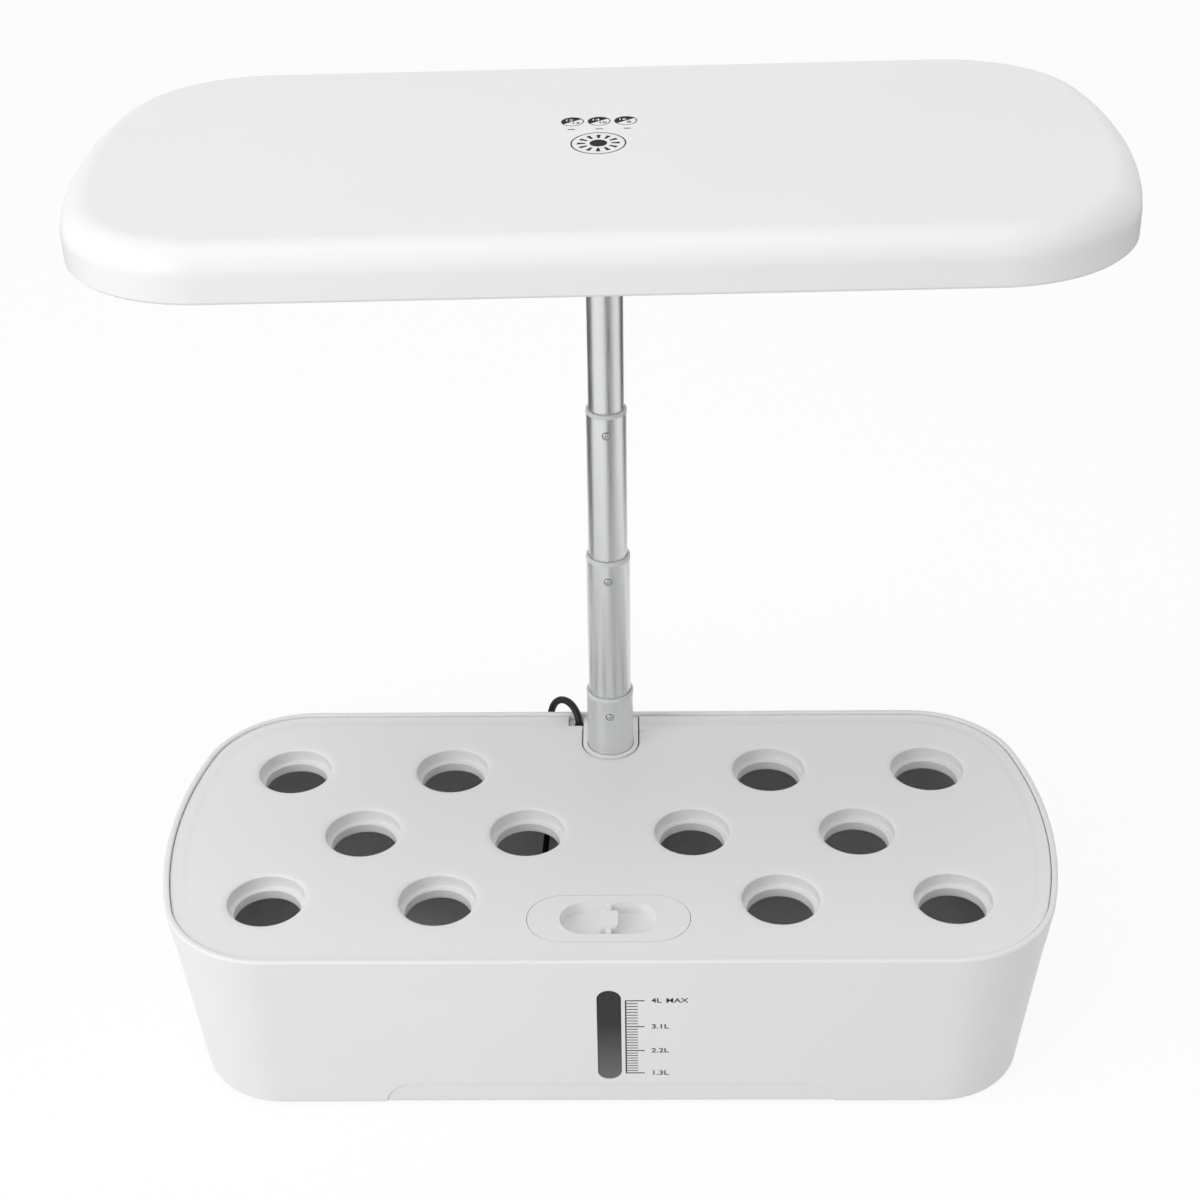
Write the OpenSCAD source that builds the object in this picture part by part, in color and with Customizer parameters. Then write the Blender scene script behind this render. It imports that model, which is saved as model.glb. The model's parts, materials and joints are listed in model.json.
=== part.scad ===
// Countertop hydroponic garden: a water tank with a twelve-hole deck, a pump inside,
// and a grow lamp on a four-stage telescoping mast.
// Millimetres. X to the right, Y to the back, Z up. The origin is on the table,
// under the middle of the tank.

/* [Tank] */
// Length of the tank over its rim
tank_l = 404; // [380:1:430]
// Depth of the tank over its rim
tank_d = 188; // [184:1:200]
// Height of the rim above the table
tank_h = 92; // [88:1:110]
// Radius of the rim's corners
tank_corner_r = 50; // [46:1:56]
// Radius of the bowed ends of the rim
tank_end_r = 216; // [210:1:250]
// How far the wall leans in between the rim and the bottom
tank_draft = 10; // [6:0.5:11]
// Thickness of the tank's wall
tank_wall = 2.7; // [2.3:0.1:3]
// Thickness of the tank's floor
tank_floor = 3.5; // [3:0.1:4]
// Radius between the wall and the bottom
tank_bottom_r = 2.5; // [2:0.5:8]
// Height of the plain band under the rim
band_h = 17; // [14:1:24]
// How far the band stands proud of the wall below it
band_step = 0.35; // [0.2:0.05:0.6]
// Length of the raised arch at the foot of the front
arch_l = 200; // [160:1:240]
// Height of the arch above the tank's bottom
arch_h = 13; // [10:0.5:18]
// Depth of the relief inside the arch
arch_depth = 0.6; // [0.3:0.1:0.8]
// Diameter of a rubber foot
foot_d = 14; // [10:1:18]
// Gap between the tank and the table
foot_gap = 1; // [0.5:0.5:2]

/* [Water window] */
// Width of the window
window_w = 10.5; // [8:0.5:14]
// Height of the window
window_h = 57.5; // [40:0.5:60]
// Height of the window's middle above the table
window_z = 45.4; // [43:0.1:48]

/* [Deck] */
// Width of the ledge in the tank that carries the deck
ledge_w = 3; // [2:0.5:4]
// How far the rim stands above the deck's border
rim_proud = 1; // [0.5:0.1:2]
// Thickness of the deck's border
border_t = 4; // [3.6:0.1:5]
// Width of the deck's border
border_w = 5.2; // [4:0.1:7]
// How far the field of the deck lies below its border
deck_drop = 0.8; // [0.4:0.1:1.2]
// Thickness of the deck's field
deck_t = 3; // [2.4:0.1:4]
// Depth of the skirt below the border
skirt_h = 8; // [5:0.5:10]
// Distance between pod holes along a row
pod_pitch = 75.5; // [73:0.5:76]
// Distance between rows of pod holes
row_pitch = 48.5; // [48:0.1:50]
// Place of the middle row behind the middle of the tank
row_y = -1.3; // [-4:0.1:-0.5]
// Diameter of the seat that a pod's flange drops into
pod_seat_d = 34.5; // [33:0.5:36]
// Depth of that seat
pod_seat_h = 7; // [5:0.5:8]
// Diameter of the bore that a pod's basket passes through
pod_bore_d = 29.6; // [27:0.1:31]
// Length of that bore
pod_bore_h = 4.3; // [3:0.1:6]
// Wall of the sleeve around a pod hole
sleeve_wall = 2; // [1.6:0.1:2.4]
// Width of the soft flare around a pod hole
flare_w = 4.8; // [3:0.1:5]
// Depth of the flare at the edge of the hole
flare_h = 0.9; // [0.5:0.1:2]

/* [Filler cap] */
// Length of the cap
cap_l = 71; // [66:0.5:76]
// Width of the cap
cap_w = 31; // [29:0.5:32]
// Place of the cap in front of the middle of the tank
cap_y = -63.3; // [-65:0.1:-62.5]
// Thickness of the cap's rim
cap_t = 2.2; // [1.8:0.1:2.6]
// Length of the finger well
well_l = 42.5; // [36:0.5:46]
// Width of the finger well
well_w = 21; // [18:0.5:21.5]
// Depth of the finger well
well_h = 6; // [4:0.5:8]
// Size of the grip block along the cap
grip_l = 8.3; // [6:0.1:12]
// Size of the grip block across the cap
grip_w = 10.5; // [8:0.5:14]
// Thickness of the bar through the grip
grip_bar = 2.4; // [2:0.1:4]
// Radius of the grip block's corners
grip_r = 1.2; // [0.5:0.1:2]

/* [Mast] */
// Place of the mast behind the middle of the tank
mast_y = 69.5; // [68:0.5:70]
// Diameter of the lowest tube
tube_d = 22; // [20:0.5:22]
// How much thinner each next tube is
tube_step = 2; // [1.6:0.1:2.2]
// Play between a tube and the one around it, on the radius
tube_play = 0.08; // [0.04:0.01:0.1]
// Length of the lowest tube above the deck
stage_1_h = 29; // [26:1:36]
// Length of the second and third tubes that shows
stage_h = 74.5; // [72:0.5:90]
// Length of the top tube between the third tube and the lamp
stage_4_h = 127; // [126:1:150]
// Length of a tube that stays inside the tube around it
tube_overlap = 20; // [18:1:24]
// Height of the guide ring at the end of a tube
ring_h = 2; // [1.5:0.1:3]
// Play around the mast socket in the deck's notch
socket_play = 0.6; // [0.3:0.1:0.8]
// Wall of the mast socket
socket_wall = 2.15; // [1.8:0.05:2.4]
// Play between the lowest tube and its socket, on the radius
socket_fit = 0.25; // [0.1:0.05:0.3]
// Diameter of a snap button
button_d = 3.4; // [3:0.1:4]
// Distance from a snap button to the end of its tube
button_drop = 8; // [7:0.5:10]
// How far a snap button stands out of the tube
button_proud = 0.6; // [0.4:0.1:1]

/* [Lamp] */
// How far the lamp leans to its left on the mast, in degrees
lamp_tilt = 0.8; // [0:0.1:1]
// Length of the lamp
lamp_l = 402; // [390:1:430]
// Depth of the lamp
lamp_d = 202; // [196:1:215]
// Thickness of the lamp
lamp_h = 21; // [20:0.5:26]
// Radius of the lamp's corners
lamp_corner_r = 58; // [50:1:64]
// Radius of the lamp's bowed ends
lamp_end_r = 254; // [230:1:280]
// Radius of the lamp's upper edge
lamp_edge_r = 11; // [6:0.5:13]
// Wall of the lamp's housing
lamp_wall = 2.2; // [1.8:0.1:2.6]
// Thickness of the lamp's lower cover
cover_t = 3; // [2.6:0.1:3.4]
// Gap between the lower cover and the housing
cover_gap = 0.25; // [0.15:0.05:0.4]
// Length of the opening under the light board
light_l = 264; // [240:1:266]
// Depth of the opening under the light board
light_d = 110; // [90:1:112]
// Place of the light board behind the middle of the lamp
light_y = -14; // [-20:1:-12]
// Thickness of the clear window over the light board
pane_t = 1.6; // [1:0.1:1.6]
// Number of LEDs along the light board
led_columns = 16; // [8:1:20]
// Number of rows of LEDs
led_rows = 5; // [3:1:6]
// Place of the touch key behind the middle of the lamp
key_y = -2.3; // [-12:0.1:0]
// Distance from the touch key to the row of indicator lights behind it
indicator_offset = 16.2; // [14:0.1:18]
// Distance between two indicator lights
indicator_pitch = 10.8; // [9:0.1:12]

/* [Pump] */
// Place of the pump beside the middle of the tank
pump_x = 34; // [20:1:60]
// Place of the pump behind the middle of the tank
pump_y = -6; // [-14:1:0]
// Length of the pump's housing
pump_l = 40; // [38:1:50]
// Width of the pump's housing
pump_w = 32; // [30:1:40]
// Height of the pump's housing
pump_h = 30; // [28:1:36]
// Height of a suction cup
cup_h = 6; // [5:0.5:8]
// Diameter of the pump's shaft
shaft_d = 2; // [1.6:0.1:2.4]
// Diameter of the impeller
impeller_d = 19; // [16:0.5:20]

/* [Leads] */
// Diameter of the supply lead
cord_d = 3.6; // [3.6:0.1:3.8]
// Diameter of the pump's lead and the lamp's top lead
lead_d = 3; // [2.6:0.1:3.2]
// Outer diameter of the curly lead in the mast
curl_d = 7; // [5.5:0.5:7]
// Radius at the middle of the stored coil's turns
coil_r = 20; // [20:1:21]
// Turns side by side in the coil
coil_columns = 6; // [6:1:6]
// Layers of turns in the coil
coil_layers = 2; // [2:1:2]
// Length of the power adapter's body
adapter_l = 58; // [50:1:62]
// Width of the power adapter's body
adapter_w = 32; // [28:1:36]
// Height of the power adapter's body as it lies
adapter_h = 26; // [24:1:30]

/* [Hidden] */

white = "#f4f4f2";
metal = "#c4c6c8";
black = "#222224";
far = 400;

// Heights of the tank and the deck
floor_z = foot_gap + tank_floor;
border_z = tank_h - rim_proud;
seat_z = border_z - border_t;
deck_z = border_z - deck_drop;
edge_x = -(tank_wall + 0.3);
skirt_out = -(tank_wall + ledge_w + 0.5);
skirt_wall = 1.6;
band_z = tank_h - band_h;

// The straight lean of the wall between the bottom's rounding and the band
front_foot = [-tank_draft, foot_gap + tank_bottom_r];
front_top = [-lean(band_z) - band_step, band_z - 1];
front_slope = (front_top[0] - front_foot[0]) / (front_top[1] - front_foot[1]);
front_angle = atan(front_slope);
wall_depth = tank_wall * cos(front_angle);
window_flange = 2.5;
gasket_t = 0.8;
pane_inset = 0.5;

// Places of the pod holes: three staggered rows, with the mast and the cap in the outer rows' middles
pods = concat(
    [for (i = [-2, -1, 1, 2]) [i * pod_pitch, row_y + row_pitch]],
    [for (i = [-1.5:1:1.5]) [i * pod_pitch, row_y]],
    [for (i = [-2, -1, 1, 2]) [i * pod_pitch, row_y - row_pitch]]
);
pod_ledge_z = deck_z - pod_seat_h;
pod_end_z = pod_ledge_z - pod_bore_h;

// The mast: the lowest tube stands in its socket, the others slide
tube_wall = tube_step / 2 - tube_play;
socket_r = tube_d / 2 + socket_fit + socket_wall;
notch_r = socket_r + socket_play;
socket_boss_h = 8;
socket_z = floor_z + socket_boss_h;
tube_seat_z = socket_z + 2.5;
end_1_z = border_z + stage_1_h;
end_2_z = end_1_z + stage_h;
end_3_z = end_2_z + stage_h;
lamp_z = end_3_z + stage_4_h;
tube_ends = [end_1_z, end_2_z, end_3_z, lamp_z + 10];
tube_starts = [tube_seat_z, end_1_z - tube_overlap, end_2_z - tube_overlap, end_3_z - tube_overlap];
socket_screw_x = socket_r + 5;

// The cable way to the left of the mast
cable_x = -15.6;
cable_y = 86.4;
cable_hole_d = cord_d + 1.2;
grommet_room = cord_d + 3.6;
cable_notch_l = 6.8;
cable_notch_y = 83.4;
notch_left = -notch_r - cable_notch_l;
duct_x = -16.9;
duct_y = 77.6;
duct_r = 4.6;
duct_bore_r = 2.9;
duct_exit_z = 3.6;
duct_exit_r = 2.8;
duct_top_z = 60;
splice_z = 76.6;
splice_h = 6.8;

// The lamp
lamp_top_z = lamp_z + lamp_h;
cover_z = lamp_z + cover_t;
pane_ledge = 4;
board_z = cover_z + 3;
board_t = 1.6;
board_l = light_l + 32;
board_d = light_d - 6;
driver_l = 66;
driver_w = 34;
driver_x = -75;
driver_y = 67;
driver_z = cover_z + 1;
touch_l = 46;
touch_w = 40;
boss_gap = 1.6;
hub_r = 12;
hub_flange_r = 20;
hub_flange_z = cover_z + 3;
lamp_screw_places = concat(
    [for (x = [-1, 1], y = [-1, 1]) [x * (lamp_l / 2 - 51), y * (lamp_d / 2 - 17)]],
    [for (x = [-1, 1], y = [-1, 1]) [x * 60, y * (lamp_d / 2 - 10)]],
    [for (x = [-1, 1]) [x * (lamp_l / 2 - 14), 0]]
);

// The pump, with its shaft along X
pump_z = floor_z + cup_h;
shaft_z = pump_z + pump_h / 2;
pump_left = pump_x - pump_l / 2;
cover_depth = 10;
chamber_h = 6;
rotor_r = 6.8;
rotor_l = 16;
well_play = 0.8;

// The stored coil, and the power adapter behind it
coil_x = -72;
coil_y = 134;
coil_in = coil_r - coil_columns * cord_d / 2;
coil_out = coil_r + coil_columns * cord_d / 2;
coil_h = coil_layers * cord_d;
adapter_x = -164;
adapter_y = coil_y + coil_out - cord_d / 2;
relief_l = 22;

// Routes of the leads, chosen by hand
cord_route = [
    [-15.6, 86.4, 86.4], [-15.6, 86.4, 87.4], [-15.6, 86.4, 88.4], [-15.7, 86.7, 90.6],
    [-16.2, 87.7, 92.8], [-17.4, 89.8, 94.9], [-19.3, 92.4, 96.5], [-21.8, 94.9, 97.2],
    [-24.7, 96.8, 96.7], [-27.1, 98.1, 94.7], [-28.8, 98.9, 91.6], [-29.9, 99.4, 87.4], [-30.6, 99.7, 81],
    [-31.4, 100, 68], [-32, 100.2, 55], [-32.6, 100.6, 42], [-33.2, 101, 30], [-34, 102, 19],
    [-35.2, 104.2, 10], [-37.2, 108.2, 4.6], [-39.6, 113.6, 2.2], [-41.4, 120, 1.8],
    [-42.6, 127, 1.8], [-43, 134, 1.8]
];
plug_route = [
    [-72, 163, 5.4], [-78, 163, 5.5], [-85, 163, 6.4], [-92, 163, 9], [-98, 163, 11.6],
    [-103, 163, 12.8], [-108, 163, 13], [-114, 163, 13], [-125, 163, 13]
];
pump_route = [
    [56, -6, 26], [58, -6, 26], [60, -6, 26], [65, -5, 24], [70, 0, 18], [70, 8, 12], [66, 18, 7.5],
    [56, 30, 6.2], [40, 40, 6], [20, 46, 6], [0, 47, 6], [-18, 50, 6], [-30, 57, 7], [-34, 66, 14],
    [-33, 73, 28], [-30, 78, 46], [-26, 82, 58], [-20.6, 85.4, 66], [-18.5, 86.2, 72.6],
    [-18.5, 86.2, 74.6], [-18.5, 86.2, 76.6]
];
supply_route = [[-15.6, 86.4, 86.4], [-15.6, 86.4, 84.9], [-15.6, 86.4, 83.4]];
duct_route = [
    [-15.4, 84.2, 76.6], [-15.4, 84.2, 74.4], [-15.6, 83.4, 71], [-16.2, 81.2, 67], [-16.8, 78.8, 62.6],
    [-16.9, 77.6, 57], [-16.9, 77.6, 48], [-16.9, 77.6, 38], [-16.9, 77.6, 30], [-16.9, 77.6, 24],
    [-16.6, 77.4, 21], [-15.2, 76.8, 19.2], [-12, 75.2, 18.6], [-8, 73.3, 18.5], [-4, 71.2, 18.4],
    [0, 69.5, 18.6]
];
top_route = [
    [0, 69.5, 12], [0, 69.5, 13.4], [-1.6, 69.4, 15.6], [-5, 69.2, 16.4], [-11, 68.8, 15.6],
    [-20, 68, 12.4], [-30, 67.2, 9.4], [-38, 67, 8.6], [-40, 67, 8.6], [-42, 67, 8.6]
];

function arc(x, z, r, from, to, n = 6) =
    [for (i = [0:n]) let (t = from + (to - from) * i / n) [x + r * cos(t), z + r * sin(t)]];
function lean(z) = tank_draft * (tank_h - z) / (tank_h - foot_gap);
function wall_x(z) = front_foot[0] + (z - front_foot[1]) * front_slope;
function tube_r(i) = (tube_d - i * tube_step) / 2;
function unit(v) = v / norm(v);

// ---- Shared shapes ----

// Moves a shape to where a corner's arc has its centre, in a coarse and a fine step that together
// keep all the digits
module to_corner(x, y) {
    coarse = floor(x * 1000) / 1000;
    translate([coarse, y, 0])
        translate([x - coarse, 0, 0])
            children();
}

// A block with the bowed plan of the tank and the lamp. Its child is the edge's profile, with the
// plan's outline at x = 0, the inside at negative x, and z upwards between lo and hi. The middle,
// the corners and the ends each fill their own sector of the plan, cut from the corners' centres,
// and meet face to face.
module bowed_block(l, d, corner_r, end_r, lo, hi) {
    corner_y = d / 2 - corner_r;
    reach = sqrt(pow(end_r - corner_r, 2) - pow(corner_y, 2));
    corner_x = l / 2 - end_r + reach;
    slope = corner_y / reach;
    span = hi - lo + 2;
    intersection() {
        translate([-l / 2, 0, 0])
            rotate([90, 0, 90])
                linear_extrude(l)
                    for (m = [0, 1])
                        mirror([m, 0])
                            intersection() {
                                translate([d / 2, 0]) children();
                                translate([-1, lo - 1]) square([d, span]);
                            }
        for_corner(0, corner_x) translate([-2 * l, -l, lo - 1]) cube([2 * l, 2 * l, span]);
        for_corner(1, corner_x) translate([-2 * l, -l, lo - 1]) cube([2 * l, 2 * l, span]);
    }
    for (m = [0, 1], n = [0, 1])
        mirror([m, 0, 0])
            mirror([0, n, 0])
                to_corner(corner_x, corner_y)
                    intersection() {
                        rotate_extrude($fn = 128)
                            intersection() {
                                translate([corner_r, 0]) children();
                                translate([0, lo - 1]) square([2 * corner_r, span]);
                            }
                        translate([0, 0, lo - 1])
                            linear_extrude(span)
                                polygon([[0, 0], [l, l * slope], [l, 2 * l], [0, 2 * l]]);
                    }
    for (m = [0, 1])
        mirror([m, 0, 0])
            intersection() {
                translate([l / 2 - end_r, 0, 0])
                    rotate_extrude($fn = 512)
                        intersection() {
                            translate([end_r, 0]) children();
                            translate([0, lo - 1]) square([2 * end_r, span]);
                        }
                end_sector(corner_x, corner_y, l, slope, lo - 1, span);
                mirror([0, 1, 0])
                    end_sector(corner_x, corner_y, l, slope, lo - 1, span);
            }
}

module for_corner(m, x) {
    mirror([m, 0, 0])
        to_corner(x, 0)
            children();
}

module end_sector(x, y, l, slope, z, h) {
    to_corner(x, y)
        translate([0, 0, z])
            linear_extrude(h)
                polygon([[0, 0], [l, l * slope], [l, -2 * l], [0, -2 * l]]);
}

module tank_block(lo, hi) {
    bowed_block(tank_l, tank_d, tank_corner_r, tank_end_r, lo, hi) children();
}

module lamp_block(lo, hi) {
    bowed_block(lamp_l, lamp_d, lamp_corner_r, lamp_end_r, lo, hi) children();
}

// A slab with round ends, along X
module stadium(l, w, h) {
    for (m = [0, 1])
        mirror([m, 0, 0])
            translate([(l - w) / 2, 0, 0])
                cylinder(d = w, h = h, $fn = 72);
    translate([-(l - w) / 2, -w / 2, 0])
        cube([l - w, w, h]);
}

// A slab with round corners
module rounded_slab(l, w, r, h) {
    for (m = [0, 1], n = [0, 1])
        mirror([m, 0, 0])
            mirror([0, n, 0])
                translate([l / 2 - r, w / 2 - r, 0])
                    cylinder(r = r, h = h, $fn = 48);
    translate([-l / 2 + r, -w / 2, 0])
        cube([l - 2 * r, w, h]);
    translate([-l / 2, -w / 2 + r, 0])
        cube([l, w - 2 * r, h]);
}

// A tube with open ends
module pipe(r, wall, h) {
    difference() {
        cylinder(r = r, h = h, $fn = 96);
        translate([0, 0, -1])
            cylinder(r = r - wall, h = h + 2, $fn = 96);
    }
}

// A pan-head screw with its head's underside at z = 0 and its shank below
module screw(head_d, head_h, shank_d, shank_l) {
    difference() {
        cylinder(d = head_d, h = head_h, $fn = 36);
        for (a = [0, 90])
            rotate([0, 0, a])
                translate([-head_d / 3, -0.4, head_h - 0.8])
                    cube([head_d / 1.5, 0.8, 2]);
    }
    translate([0, 0, -shank_l])
        cylinder(d = shank_d, h = shank_l + 0.1, $fn = 36);
}

// Points on a smooth curve through a route, steps to each stretch
function at(p, i) = p[max(0, min(len(p) - 1, i))];
function blend(a, b, c, d, t) =
    0.5 * (2 * b + (c - a) * t + (2 * a - 5 * b + 4 * c - d) * t * t
    + (3 * b - a - 3 * c + d) * t * t * t);
function smooth(p, steps) = concat(
    [for (i = [0:len(p) - 2], k = [0:steps - 1])
        blend(at(p, i - 1), p[i], p[i + 1], at(p, i + 2), k / steps)],
    [p[len(p) - 1]]
);
function headings(p) = [for (i = [0:len(p) - 1]) unit(at(p, i + 1) - at(p, i - 1))];
function carried(h, u, i = 0) = i == len(h) ? [] :
    let (v = unit(u - (u * h[i]) * h[i])) concat([v], carried(h, v, i + 1));

// A round lead swept along a route
module lead(route, d, steps = 1, sides = 8) {
    p = smooth(route, steps);
    h = headings(p);
    u = carried(h, [0.6, 0.5, 0.62]);
    rings = len(p);
    points = [for (i = [0:rings - 1], k = [0:sides - 1])
        p[i] + d / 2 * (cos(360 * k / sides) * u[i] + sin(360 * k / sides) * cross(h[i], u[i]))];
    walls = [for (i = [0:rings - 2], k = [0:sides - 1]) let (n = (k + 1) % sides)
        [i * sides + k, (i + 1) * sides + k, (i + 1) * sides + n, i * sides + n]];
    caps = [[for (k = [0:sides - 1]) k], [for (k = [sides - 1:-1:0]) (rings - 1) * sides + k]];
    polyhedron(points = points, faces = concat(caps, walls), convexity = 6);
}

// ---- Tank ----

// Outside of the tank's wall, moved in by inset
module tank_outline(inset = 0) {
    polygon(concat(
        [[-far, foot_gap + inset]],
        arc(-tank_draft - tank_bottom_r, foot_gap + tank_bottom_r, tank_bottom_r - inset, -90, 0),
        [front_top - [inset, 0], [-lean(band_z) - inset, band_z]],
        arc(-1.2, tank_h - 1.2, max(1.2 - inset, 0.1), 0, 90, 4),
        [[-far, max(tank_h - inset, tank_h - 0.1)]]
    ));
}

module tank_hollow() {
    r = tank_bottom_r - 1;
    ledge_end = seat_z - 2.5 - ledge_w;
    polygon(concat(
        [[-far, floor_z]],
        arc(wall_x(floor_z + r) - tank_wall - r, floor_z + r, r, -90, 0),
        [
            [wall_x(ledge_end) - tank_wall, ledge_end],
            [-tank_wall - ledge_w, seat_z - 2.5],
            [-tank_wall - ledge_w, seat_z],
            [-tank_wall, seat_z],
            [-tank_wall, tank_h - 0.4],
            [-tank_wall + 0.4, tank_h],
            [-tank_wall + 0.4, tank_h + 1],
            [-far, tank_h + 1]
        ]
    ));
}

// Puts a shape on the leaning front wall: its X is along the tank, its Y up the wall,
// and its Z straight out of the wall
module on_front(z) {
    translate([0, -tank_d / 2 - wall_x(z), z])
        rotate([90 + front_angle, 0, 0])
            children();
}

// An upright stadium in the wall, between two depths below its outside
module window_slab(w, h, outer, inner) {
    on_front(window_z)
        translate([0, 0, -inner])
            rotate([0, 0, 90])
                stadium(h, w, inner - outer);
}

module arch_relief() {
    intersection() {
        difference() {
            translate([-arch_l / 2, -tank_d / 2 - 5, 0])
                cube([arch_l, 40, foot_gap + arch_h]);
            for (m = [0, 1])
                mirror([m, 0, 0])
                    translate([arch_l / 2, -tank_d / 2 - 6, 0])
                        difference() {
                            translate([-arch_h, 0, 0])
                                cube([arch_h + 1, 42, foot_gap + arch_h + 1]);
                            translate([-arch_h, -1, foot_gap])
                                rotate([-90, 0, 0])
                                    cylinder(r = arch_h, h = 44, $fn = 96);
                        }
        }
        difference() {
            translate([-arch_l / 2 - 1, -tank_d / 2 - 5, -1])
                cube([arch_l + 2, 40, 40]);
            tank_block(foot_gap, tank_h) translate([-arch_depth, 0]) tank_outline(0);
        }
    }
}

module foot_places() {
    for (m = [0, 1], n = [0, 1])
        mirror([m, 0, 0])
            mirror([0, n, 0])
                translate([tank_l / 2 - 62, tank_d / 2 - 38, 0])
                    children();
}

module tank() {
    color(white)
    difference() {
        union() {
            difference() {
                tank_block(foot_gap, tank_h) tank_outline();
                tank_block(foot_gap, tank_h + 1) tank_hollow();
            }
            for (m = [-1, 1])
                translate([m * socket_screw_x, mast_y, floor_z - 0.5])
                    cylinder(d = 8, h = socket_boss_h + 0.5, $fn = 48);
        }
        for (m = [-1, 1])
            translate([m * socket_screw_x, mast_y, socket_z - 7])
                cylinder(d = 2.6, h = 8, $fn = 36);
        foot_places()
            translate([0, 0, foot_gap - 1])
                cylinder(d = foot_d + 0.4, h = 2, $fn = 64);
        window_slab(window_w, window_h, -5, 20);
        arch_relief();
        translate([cable_x - grommet_room / 2, cable_y - grommet_room / 2, seat_z - 6])
            cube([grommet_room, grommet_room, 6.1]);
    }
}

module rubber_feet() {
    color(black)
    foot_places()
        difference() {
            cylinder(d = foot_d, h = foot_gap + 1, $fn = 64);
            translate([0, 0, -1])
                pipe(foot_d / 2 - 2, 1.2, 1.5);
        }
}

module water_window() {
    back = wall_depth + gasket_t;
    color("#4a4e52")
    union() {
        window_slab(window_w - 0.2, window_h - 0.2, pane_inset, back + 0.5);
        window_slab(window_w + 2 * window_flange, window_h + 2 * window_flange, back, back + 1.5);
    }
}

module window_gasket() {
    color(black)
    difference() {
        window_slab(window_w + 2 * window_flange, window_h + 2 * window_flange, wall_depth, wall_depth + gasket_t);
        window_slab(window_w + 0.4, window_h + 0.4, wall_depth - 1, wall_depth + 3);
    }
}

// ---- Deck and filler cap ----

module deck_outline() {
    under = deck_z - deck_t;
    polygon([
        [-far, under],
        [skirt_out - skirt_wall, under],
        [skirt_out - skirt_wall, seat_z - skirt_h],
        [skirt_out, seat_z - skirt_h],
        [skirt_out, seat_z],
        [edge_x, seat_z],
        [edge_x, border_z - 0.5],
        [edge_x - 0.5, border_z],
        [edge_x - border_w, border_z],
        [edge_x - border_w - 1.8, deck_z],
        [-far, deck_z]
    ]);
}

// The rounded drop from the deck into a hole, cut by turning it around the hole
module flare(r, w, h) {
    polygon([
        [r - 2, 1], [r + w, 1], [r + w, 0], [r + 0.62 * w, -0.07 * h], [r + 0.32 * w, -0.27 * h],
        [r + 0.12 * w, -0.57 * h], [r, -h], [r - 2, -h]
    ]);
}

module pod_sleeve() {
    seat_wall_r = pod_seat_d / 2 + sleeve_wall;
    translate([0, 0, pod_ledge_z - sleeve_wall])
        cylinder(r = seat_wall_r, h = deck_z - deck_t - pod_ledge_z + sleeve_wall + 0.5, $fn = 96);
    translate([0, 0, pod_end_z])
        cylinder(r = pod_bore_d / 2 + sleeve_wall, h = 8, $fn = 96);
}

module pod_hole() {
    translate([0, 0, pod_ledge_z])
        cylinder(d = pod_seat_d, h = pod_seat_h + 3, $fn = 96);
    translate([0, 0, pod_end_z - 1])
        cylinder(d = pod_bore_d, h = pod_bore_h + 2, $fn = 96);
    translate([0, 0, deck_z])
        rotate_extrude($fn = 96)
            flare(pod_seat_d / 2, flare_w, flare_h);
}

// The way through the deck for the mast and the cable, open to the back
module mast_notch() {
    translate([0, mast_y, seat_z - 20])
        cylinder(r = notch_r, h = 40, $fn = 96);
    translate([-notch_r, mast_y, seat_z - 20])
        cube([2 * notch_r, 60, 40]);
    translate([notch_left, cable_notch_y, seat_z - 20])
        cube([cable_notch_l + 2, 60, 40]);
    translate([0, mast_y, deck_z])
        intersection() {
            rotate_extrude($fn = 96) flare(notch_r, 5.5, 0.6);
            translate([-40, -40, -5]) cube([80, 40, 10]);
        }
    for (m = [0, 1])
        mirror([m, 0, 0])
            translate([0, tank_d / 2 - 15, deck_z])
                rotate([90, 0, 0])
                    linear_extrude(tank_d / 2 - 15 - mast_y)
                        flare(notch_r, 5.5, 0.6);
}

module lid() {
    color(white)
    difference() {
        union() {
            tank_block(seat_z - skirt_h, border_z) deck_outline();
            for (p = pods)
                translate([p[0], p[1], 0])
                    pod_sleeve();
            translate([0, cap_y, deck_z - cap_t - 2.2])
                stadium(cap_l + 4, cap_w + 4, 3);
        }
        for (p = pods)
            translate([p[0], p[1], 0])
                pod_hole();
        translate([0, cap_y, deck_z - cap_t])
            stadium(cap_l + 0.5, cap_w + 0.5, 10);
        translate([0, cap_y, deck_z - 20])
            stadium(cap_l - 7, cap_w - 5.4, 30);
        mast_notch();
    }
}

module filler_cap() {
    plug_l = cap_l - 7.6;
    plug_w = cap_w - 6;
    color(white)
    translate([0, cap_y, deck_z])
        difference() {
            union() {
                translate([0, 0, -cap_t])
                    stadium(cap_l, cap_w, cap_t);
                translate([0, 0, -well_h - 2])
                    stadium(plug_l, plug_w, well_h + 1);
            }
            difference() {
                translate([0, 0, -well_h])
                    stadium(well_l, well_w, well_h + 1);
                translate([0, 0, -well_h - 1])
                    rounded_slab(grip_l, grip_w, grip_r, well_h + 1);
                translate([-grip_bar / 2, -well_w / 2 - 1, -well_h - 1])
                    cube([grip_bar, well_w + 2, well_h - 0.4]);
            }
            for (m = [0, 1])
                mirror([m, 0, 0])
                    translate([(well_l + 3) / 2, -plug_w / 2 + 2, -well_h - 3])
                        cube([(plug_l - well_l) / 2 - 6, plug_w - 4, well_h + 3 - cap_t]);
        }
}

// ---- Mast ----

// The way out of the duct's foot into the lowest tube
module duct_exit() {
    translate([duct_x, duct_y, tube_seat_z + duct_exit_z])
        rotate([0, 90, atan((mast_y - duct_y) / -duct_x)])
            cylinder(r = duct_exit_r, h = 14, $fn = 36);
}

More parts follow.
